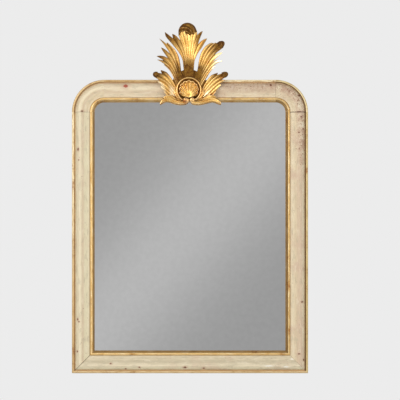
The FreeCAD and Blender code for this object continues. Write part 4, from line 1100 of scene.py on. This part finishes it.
def slip_gilt(side):
    """The sight slip: a bright bead, with painted shade on its slope down to the glass."""
    s = Shade("slip_gilt_" + side)
    at = moulding_places(s, side)
    foot_darkening, slope_inset, slope_shade = SLIP_FOOT_LINE_AND_SLOPE_SHADE[side]
    pale = s.fade(strokes(s, at, GILT_STRETCH, 34, 5, 0.6), 0.45, 0.65, 0.05, 0.45)
    tones = SLIP_RIGHT_SHADED_GOLD if side.startswith("right") else SLIP_GOLD
    leaf, patches, grain = worn_leaf(s, at, tones, pale)
    blur = SLIP_BEAD_WIDTH * SLIP_BLUR_SHARE
    foot_inset = SLIP_INSET + SLIP_BEAD_WIDTH * SLIP_FOOT_SHARE
    foot = s.fade(at.inset, foot_inset, SLIP_INSET + blur, 0, foot_darkening)
    # Painted shade on the slope down to the glass.
    slope = s.fade(at.inset, slope_inset, slope_inset + blur, 0, slope_shade)
    dirt_and_shade = s.most(foot, slope) * s.fade(patches, 0.2, 0.7, 1, 0.75)
    colour = s.mix(dirt_and_shade, leaf, GILT_DIRT_AND_SHADE)
    rough = s.fade(grain, 0.2, 0.8, 0.32, 0.46) + dirt_and_shade * 0.2
    return s.finish(colour, rough, s.bump(grain, GILT_BUMP, 0.3), 0.8)


# Paint
def brushed_cream(s, at, side, streaks, brush):
    """Cream paint, a shade darker on the right and the bottom as painted shade, with bands of other colours
    and of painted highlight, and rosy, grey and pale drifts along the length.
    """
    # Painted shade: the right and bottom creams are darker.
    cream = s.mix(s.fade(streaks, 0.32, 0.68), *SIDE_SHADED_CREAMS[side])
    # Bands of other tints, and of painted highlight on the crown and the slopes.
    for middle, half, colour, strength in PAINT_BANDS[side]:
        band = s.fade(abs(at.inset - middle), *(half * share for share in PAINT_BAND_EDGE_SHARES))
        cream = s.mix(band * s.fade(brush, 0.34, 0.58, 0.25, strength), cream, colour)
    patches = s.noise(at.place, 13, 5, 0.6)
    rosy = s.fade(patches, 0.47, 0.66) * s.fade(at.x, *ROSY_SPAN, 0.25, 0.85)
    cream = s.mix(rosy * s.fade(brush, 0.3, 0.6, 0.5, 1), cream, PAINT_ROSE)
    drift = strokes(s, at, DRIFT_STRETCH, 26, 6, 0.66)
    cream = s.mix(s.fade(drift, 0.48, 0.34, 0, 0.55), cream, PAINT_GREY)
    cream = s.mix(s.fade(drift, 0.54, 0.68, 0, 0.45), cream, PAINT_PALE)
    cream = s.mix(s.fade(brush, 0.60, 0.72, 0, 0.5), cream, PAINT_PALE)
    return s.mix(s.fade(brush, 0.40, 0.30, 0, 0.4), cream, PAINT_GREY)


def rail_wear(s, at, side, cream, mottle):
    """The top rail rubbed bare right of the crest, and the bottom rail smeared on the right."""
    if side == "top":
        bare = s.fade(at.x, *BARE_SPAN) * s.fade(at.inset, *BARE_INSETS)
        cream = s.mix(bare * s.fade(mottle, 0.42, 0.55, 0.85, 0.10), cream, PAINT_BARE)
    if side == "bottom":
        smear = strokes(s, at, SMEAR_STRETCH, 30, 4, 0.6, 1.6)
        right = s.fade(at.x, *SMEAR_SPAN)
        cream = s.mix(right * s.fade(smear, 0.46, 0.36, 0, 0.6), cream, PAINT_GREY)
        cream = s.mix(right * s.fade(smear, 0.58, 0.68, 0, 0.5), cream, PAINT_PALE)
    return cream


def edge_dirt_and_light(s, at, side, colour, specks):
    """Ochre, partly painted light, in the quirk, darker in the groove, dirt by the slip, and fly specks."""
    # Ochre in the quirk, light enough to stand in for light reaching the groove.
    quirk = s.fade(at.inset, FIELD_INSET + QUIRK_BLUR, FIELD_INSET - QUIRK_BLUR, 0, QUIRK_OCHRE_AND_LIGHT)
    groove = s.fade(at.inset, FIELD_INSET - QUIRK_BLUR, FIELD_INSET - QUIRK_BLUR * 2, 0, GROOVE_DARKENING[side])
    by_slip = s.fade(at.inset, SLIP_INSET - SLIP_LINE_WIDTH, SLIP_INSET, 0, SLIP_LINE_DIRT)
    colour = s.mix(quirk, colour, PAINT_OCHRE)
    colour = s.mix(groove, colour, PAINT_DIRT)
    return s.mix(s.most(specks, by_slip), colour, PAINT_DIRT)


def marks_on(node, marks):
    """The marks that lie on a node."""
    low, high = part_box(node)
    return [m for m in marks if low.x < m[0] + m[2] and m[0] - m[2] < high.x
            and low.z < m[1] + m[3] and m[1] - m[3] < high.z]


def chipped(s, at, node, colour):
    """The colour with chips, nicks and scrapes in torn outlines, and a mask for each kind."""
    tear = (s.noise(at.place, 380, 3) - 0.5) * MARK_TEAR
    masks = []
    for marks, halo_colour, mark_colour in PAINT_MARKS:
        here = marks_on(node, marks)
        if here:
            spots = [s.length((at.x - x) / width, (at.z - z) / height) for x, z, width, height in here]
            away = s.least(*spots) + tear
            masks.append(s.fade(away, *MARK_EDGE_SHARES))
            colour = s.mix(s.fade(away, *MARK_HALO_SHARES, 0, 0.7), colour, halo_colour)
            colour = s.mix(masks[-1], colour, mark_colour)
    return colour, masks


def crack(s, off, strength=1.0):
    """A dark line where the distance from a joint is zero."""
    return s.fade(abs(off), CRACK_WIDTH, CRACK_WIDTH * CRACK_CORE_SHARE, 0, strength)


def open_joints(s, at, side):
    """Dark open joints: below the corner blocks, beside the right one, and at the bottom mitres."""
    lines = []
    if side == "top":
        lines.append(crack(s, at.x + CORNER_LEFT, TOP_CRACK))
    elif side != "bottom":
        lines.append(crack(s, at.z - CORNER_FOOT, RIGHT_CRACK if side.startswith("right") else LEFT_CRACK))
    if side in ("left", "right", "bottom"):
        mitre = crack(s, FRAME_RIGHT - abs(at.x) - (at.z + FRAME_TOP))
        lines.append(mitre * s.fade(at.x, *MITRE_SPAN, *MITRE_CRACKS))
    return s.most(*lines)


def pine_wood(s, across, deep, along):
    """Colour and fibre of dry pine whose grain runs along: soft rings, fine fibres and age stains."""
    swirl = s.noise(s.join(across, deep, along * PINE_STRETCH), PINE_FIGURE, 2, 0.45, 0.3)
    rings = s.math("SINE", swirl * PINE_RINGS)
    fibre = s.noise(s.join(across, deep, along * (PINE_STRETCH / 2)), 420, 4, 0.6)
    stains = s.noise(s.join(across, deep, along), 9, 4)
    wood = s.mix(s.fade(fibre, 0.3, 0.7), *PINE_TONES)
    wood = s.mix(s.fade(rings, 0.2, 1, 0, 0.55), wood, PINE_LATE)
    return s.mix(s.fade(stains, 0.48, 0.75, 0, 0.5), wood, PINE_STAIN), fibre


def paint(side, node):
    """Old cream paint, brushed, with painted highlight and shade, rubbed, grubby, chipped, bare pine behind.
    """
    s = Shade("paint_" + side)
    at = moulding_places(s, side)
    drawn = s.join(at.inset * STREAK_STRETCH, at.along, at.y * STREAK_DEEP_STRETCH)
    streaks = s.noise(drawn, 20, 6, 0.62, 0.4)
    brush = strokes(s, at, BRUSH_STRETCH, 30, 5, 0.6)
    mottle = s.noise(at.place, 42, 6, 0.68)
    grain = s.noise(at.place, 700, 3)
    cream = brushed_cream(s, at, side, streaks, brush)
    cream = rail_wear(s, at, side, cream, mottle)
    rubbed = s.fade(at.x, *RUBBED_SPAN) * s.fade(at.z, *RUBBED_RISE) * s.fade(at.inset, *RUBBED_INSETS)
    cream = s.mix(rubbed * s.fade(mottle, 0.46, 0.58, 0, 0.75), cream, PAINT_BARE)
    cream = s.mix(rubbed * s.fade(mottle, 0.46, 0.38, 0, 0.6), cream, PAINT_PALE)
    specks = s.fade(s.noise(at.place, 210, 2) + rubbed * 0.105, 0.69, 0.75, 0, 0.75)
    colour = edge_dirt_and_light(s, at, side, cream, specks)
    colour, masks = chipped(s, at, node, colour)
    joints = open_joints(s, at, side)
    colour = s.mix(joints, colour, CRACK_BROWN)
    wash = s.mix(s.fade(streaks, 0.3, 0.7), *EDGE_TONES)
    wash = s.mix(s.fade(mottle, 0.52, 0.64, 0, 0.7), wash, EDGE_SCUFF)
    wash = s.mix(specks, wash, PAINT_DIRT)
    colour = s.mix(s.fade(at.inset, EDGE_DEEP, EDGE_DEEP / 2), colour, wash)
    rear = s.rearward()
    colour = s.mix(rear, colour, pine_wood(s, at.inset, at.y, at.along)[0])
    rough = s.fade(streaks, 0.2, 0.8, 0.48, 0.68) + rear * 0.16
    hurt = s.most(joints, *masks) * (1.0 - rear)
    height = grain * 0.25 + brush * 0.5 - hurt * 1.2
    return s.finish(colour, rough, s.bump(height, PAINT_BUMP, 0.5))


# Back, glass and metal
def pine(name, shift):
    """Dry unpainted pine, upright, each board with its own figure."""
    s = Shade(name)
    x, y, z = s.split(s.place())
    wood, fibre = pine_wood(s, x + shift, y, z)
    rough = s.fade(fibre, 0.2, 0.8, 0.68, 0.84)
    return s.finish(wood, rough, s.bump(fibre, PINE_BUMP, 0.4))


def mirror_silver():
    """Silvered plate glass with the faint haze and slight waves of an old plate."""
    s = Shade("mirror_silver")
    haze = s.fade(s.noise(s.place(), 60, 4), 0.3, 0.7)
    waves = s.noise(s.place(), 6, 2)
    return s.finish(s.mix(haze, *SILVER_TONES), haze * 0.03, s.bump(waves, METAL_BUMP, 0.05), 1.0)


def spotted_metal(name, tones, scale, start, bright_rough, dull_rough, strength, metal):
    """Metal that is dull in spots."""
    s = Shade(name)
    spots = s.noise(s.place(), scale, 5, 0.65)
    colour = s.mix(s.fade(spots, start, 0.75), *tones)
    rough = s.fade(spots, 0.3, 0.7, bright_rough, dull_rough)
    return s.finish(colour, rough, s.bump(spots, METAL_BUMP, strength), metal)


def dull_steel():
    """Old nails and screws with rust in spots."""
    return spotted_metal("dull_steel", STEEL_TONES, 260, 0.5, 0.35, 0.65, 0.4, 0.85)


def tarnished_brass():
    """Hanger brass, brown in patches."""
    return spotted_metal("tarnished_brass", BRASS_TONES, 180, 0.4, 0.28, 0.55, 0.3, 0.9)


# Which node gets which finish
PAINTED_NODES = {
    "left": "left_stile", "right": "right_stile", "top": "top_rail", "bottom": "bottom_rail",
    "left_corner": "left_corner_block", "right_corner": "right_corner_block",
}
PINE_NODES = (
    "corner_dowels", "mitre_keys", "glazing_blocks", "backboard_left", "backboard_centre", "backboard_right",
    "crest_batten", "crest_packing_block",
)
STEEL_NODES = ("backboard_nails", "hanger_screws", "crest_screws")
BRASS_NODES = ("hanger_strap_left", "hanger_strap_right", "hanger_ring_left", "hanger_ring_right")


def cover(obj, material):
    if not obj.material_slots:
        obj.data.materials.append(material)
    for slot in obj.material_slots:
        slot.link = "OBJECT"
        slot.material = material


def cover_all(objects, material):
    for obj in objects:
        cover(obj, material)


def dress(carved):
    """Give every piece and every node its finish."""
    cover_all(carved, carved_gilt())
    for side, node in PAINTED_NODES.items():
        cover(NODES[node], paint(side, node))
        cover(NODES["outer_bead_" + side], bead_gilt(side))
        cover(NODES["sight_slip_" + side], slip_gilt(side))
    cover(NODES["mirror_plate"], mirror_silver())
    for shift, name in enumerate(PINE_NODES):
        cover(NODES[name], pine("pine_" + name, shift))
    cover_all([NODES[name] for name in STEEL_NODES], dull_steel())
    cover_all([NODES[name] for name in BRASS_NODES], tarnished_brass())


# Stage: world, lamps, floor, the card that the mirror shows, and the camera
VIEW_CENTRE = (0.0328, 0.0870)
VIEW_WIDTH = 1.313
VIEW_PLANE_DEPTH = 0.028
CAMERA_DISTANCE = 6.0
SENSOR_WIDTH = 36.0
BACKGROUND = rgb(236, 236, 236)
WHITE = (1.0, 1.0, 1.0)
BLACK = (0.0, 0.0, 0.0)
AMBIENT = 0.55
LAMP_SIZE = 1.8
KEY_PLACE = (-1.7, -3.4, 0.9)
KEY_AIM = (0.0, 0.0, 0.1)
KEY_POWER = 56.0
FILL_PLACE = (2.2, -3.2, 0.1)
FILL_AIM = (0.0, 0.0, 0.0)
FILL_POWER = 24.0
FLOOR_TONES = (rgb(232, 232, 231), rgb(238, 238, 237))
FLOOR_DROP = 0.75
FLOOR_SIZE = 5.6
FLOOR_BACK = 1.5
FLOOR_CLEAR = 0.3
FLOOR_REACH = 1.4

# The card is grey with a diagonal band of light: the band's slant, its middle and its spread
CARD_TONES = (rgb(152, 152, 152), rgb(184, 184, 184))
CARD_GLOW = 0.975
CARD_DISTANCE = 12.0
CARD_HALF_WIDTH = 1.5
CARD_FOOT = -1.9
CARD_TOP = 1.6
BAND_SLANT = (0.743, 0.669)
BAND_MIDDLE = 0.05
BAND_SPREAD = 0.62


def build_world():
    """Even soft light, and a pale background for the eye and for reflections."""
    world = bpy.data.worlds.new("studio")
    bpy.context.scene.world = world
    world.use_nodes = True
    w = Nodes(world.node_tree)
    soft = w.add("ShaderNodeBackground", {"Color": WHITE, "Strength": AMBIENT})
    pale = w.add("ShaderNodeBackground", {"Color": BACKGROUND})
    out = w.tree.nodes.new("ShaderNodeOutputWorld")
    w.set(out.inputs["Surface"], w.mix_shader(w.seen(), soft, pale))


def area_lamp(name, place, aim, power):
    data = bpy.data.lights.new(name, "AREA")
    data.shape = "SQUARE"
    data.size = LAMP_SIZE
    data.energy = power
    lamp = placed(name, data)
    lamp.location = place
    lamp.rotation_euler = (Vector(aim) - Vector(place)).to_track_quat("-Z", "Y").to_euler()
    lamp.visible_camera = False


def stage_plane(name, corners, material):
    made = mesh_object(name, corners, [(0, 1, 2, 3)])
    cover(made, material)
    return made


def floor_material():
    """Pale matt floor that thins out to the background away from the part, and is clear from below."""
    s = Shade("floor")
    place = s.place()
    x, y = s.split(place)[:2]
    mottle = s.noise(place, 3, 3)
    rough = s.fade(mottle, 0.2, 0.8, 0.85, 0.95)
    s.give({"Base Color": s.mix(mottle, *FLOOR_TONES), "Roughness": rough})
    below = s.add("ShaderNodeNewGeometry", (), "Backfacing")
    gone = s.most(below, s.fade(s.length(x, y), FLOOR_CLEAR, FLOOR_REACH))
    s.set(s.out, s.mix_shader(s.seen() * gone, s.surface, s.add("ShaderNodeBsdfTransparent")))
    return s.material


def card_material():
    """A diagonal band of light that fades to grey on both sides, seen only in reflections."""
    s = Shade("card")
    place = s.split(s.place())
    across = place[0] * BAND_SLANT[0] - place[2] * BAND_SLANT[1]
    across = (across - BAND_MIDDLE) / BAND_SPREAD
    bell = s.math("POWER", math.e, across * across * -1.0)
    colour = s.mix(bell, *CARD_TONES)
    s.give({"Base Color": BLACK, "Emission Color": colour, "Emission Strength": CARD_GLOW})
    return s.material


def build_floor():
    half, front = FLOOR_SIZE / 2, FLOOR_BACK - FLOOR_SIZE
    corners = ((-half, front), (half, front), (half, FLOOR_BACK), (-half, FLOOR_BACK))
    stage_plane("floor", [(x, y, -FLOOR_DROP) for x, y in corners], floor_material())


def build_card():
    half = CARD_HALF_WIDTH
    corners = ((-half, CARD_FOOT), (half, CARD_FOOT), (half, CARD_TOP), (-half, CARD_TOP))
    card = stage_plane("card", [(x, -CARD_DISTANCE, z) for x, z in corners], card_material())
    card.visible_camera = False
    card.visible_diffuse = False
    card.visible_shadow = False


def build_camera():
    data = bpy.data.cameras.new("camera")
    data.sensor_width = SENSOR_WIDTH
    data.lens = SENSOR_WIDTH * CAMERA_DISTANCE / VIEW_WIDTH
    camera = placed("camera", data)
    camera.location = (VIEW_CENTRE[0], -VIEW_PLANE_DEPTH - CAMERA_DISTANCE, VIEW_CENTRE[1])
    camera.rotation_euler = (math.pi / 2, 0.0, 0.0)
    bpy.context.scene.camera = camera


build_camera()
build_world()
build_floor()
build_card()
area_lamp("key", KEY_PLACE, KEY_AIM, KEY_POWER)
area_lamp("fill", FILL_PLACE, FILL_AIM, FILL_POWER)
dress(build_crest())
bpy.context.scene.view_settings.view_transform = "Standard"
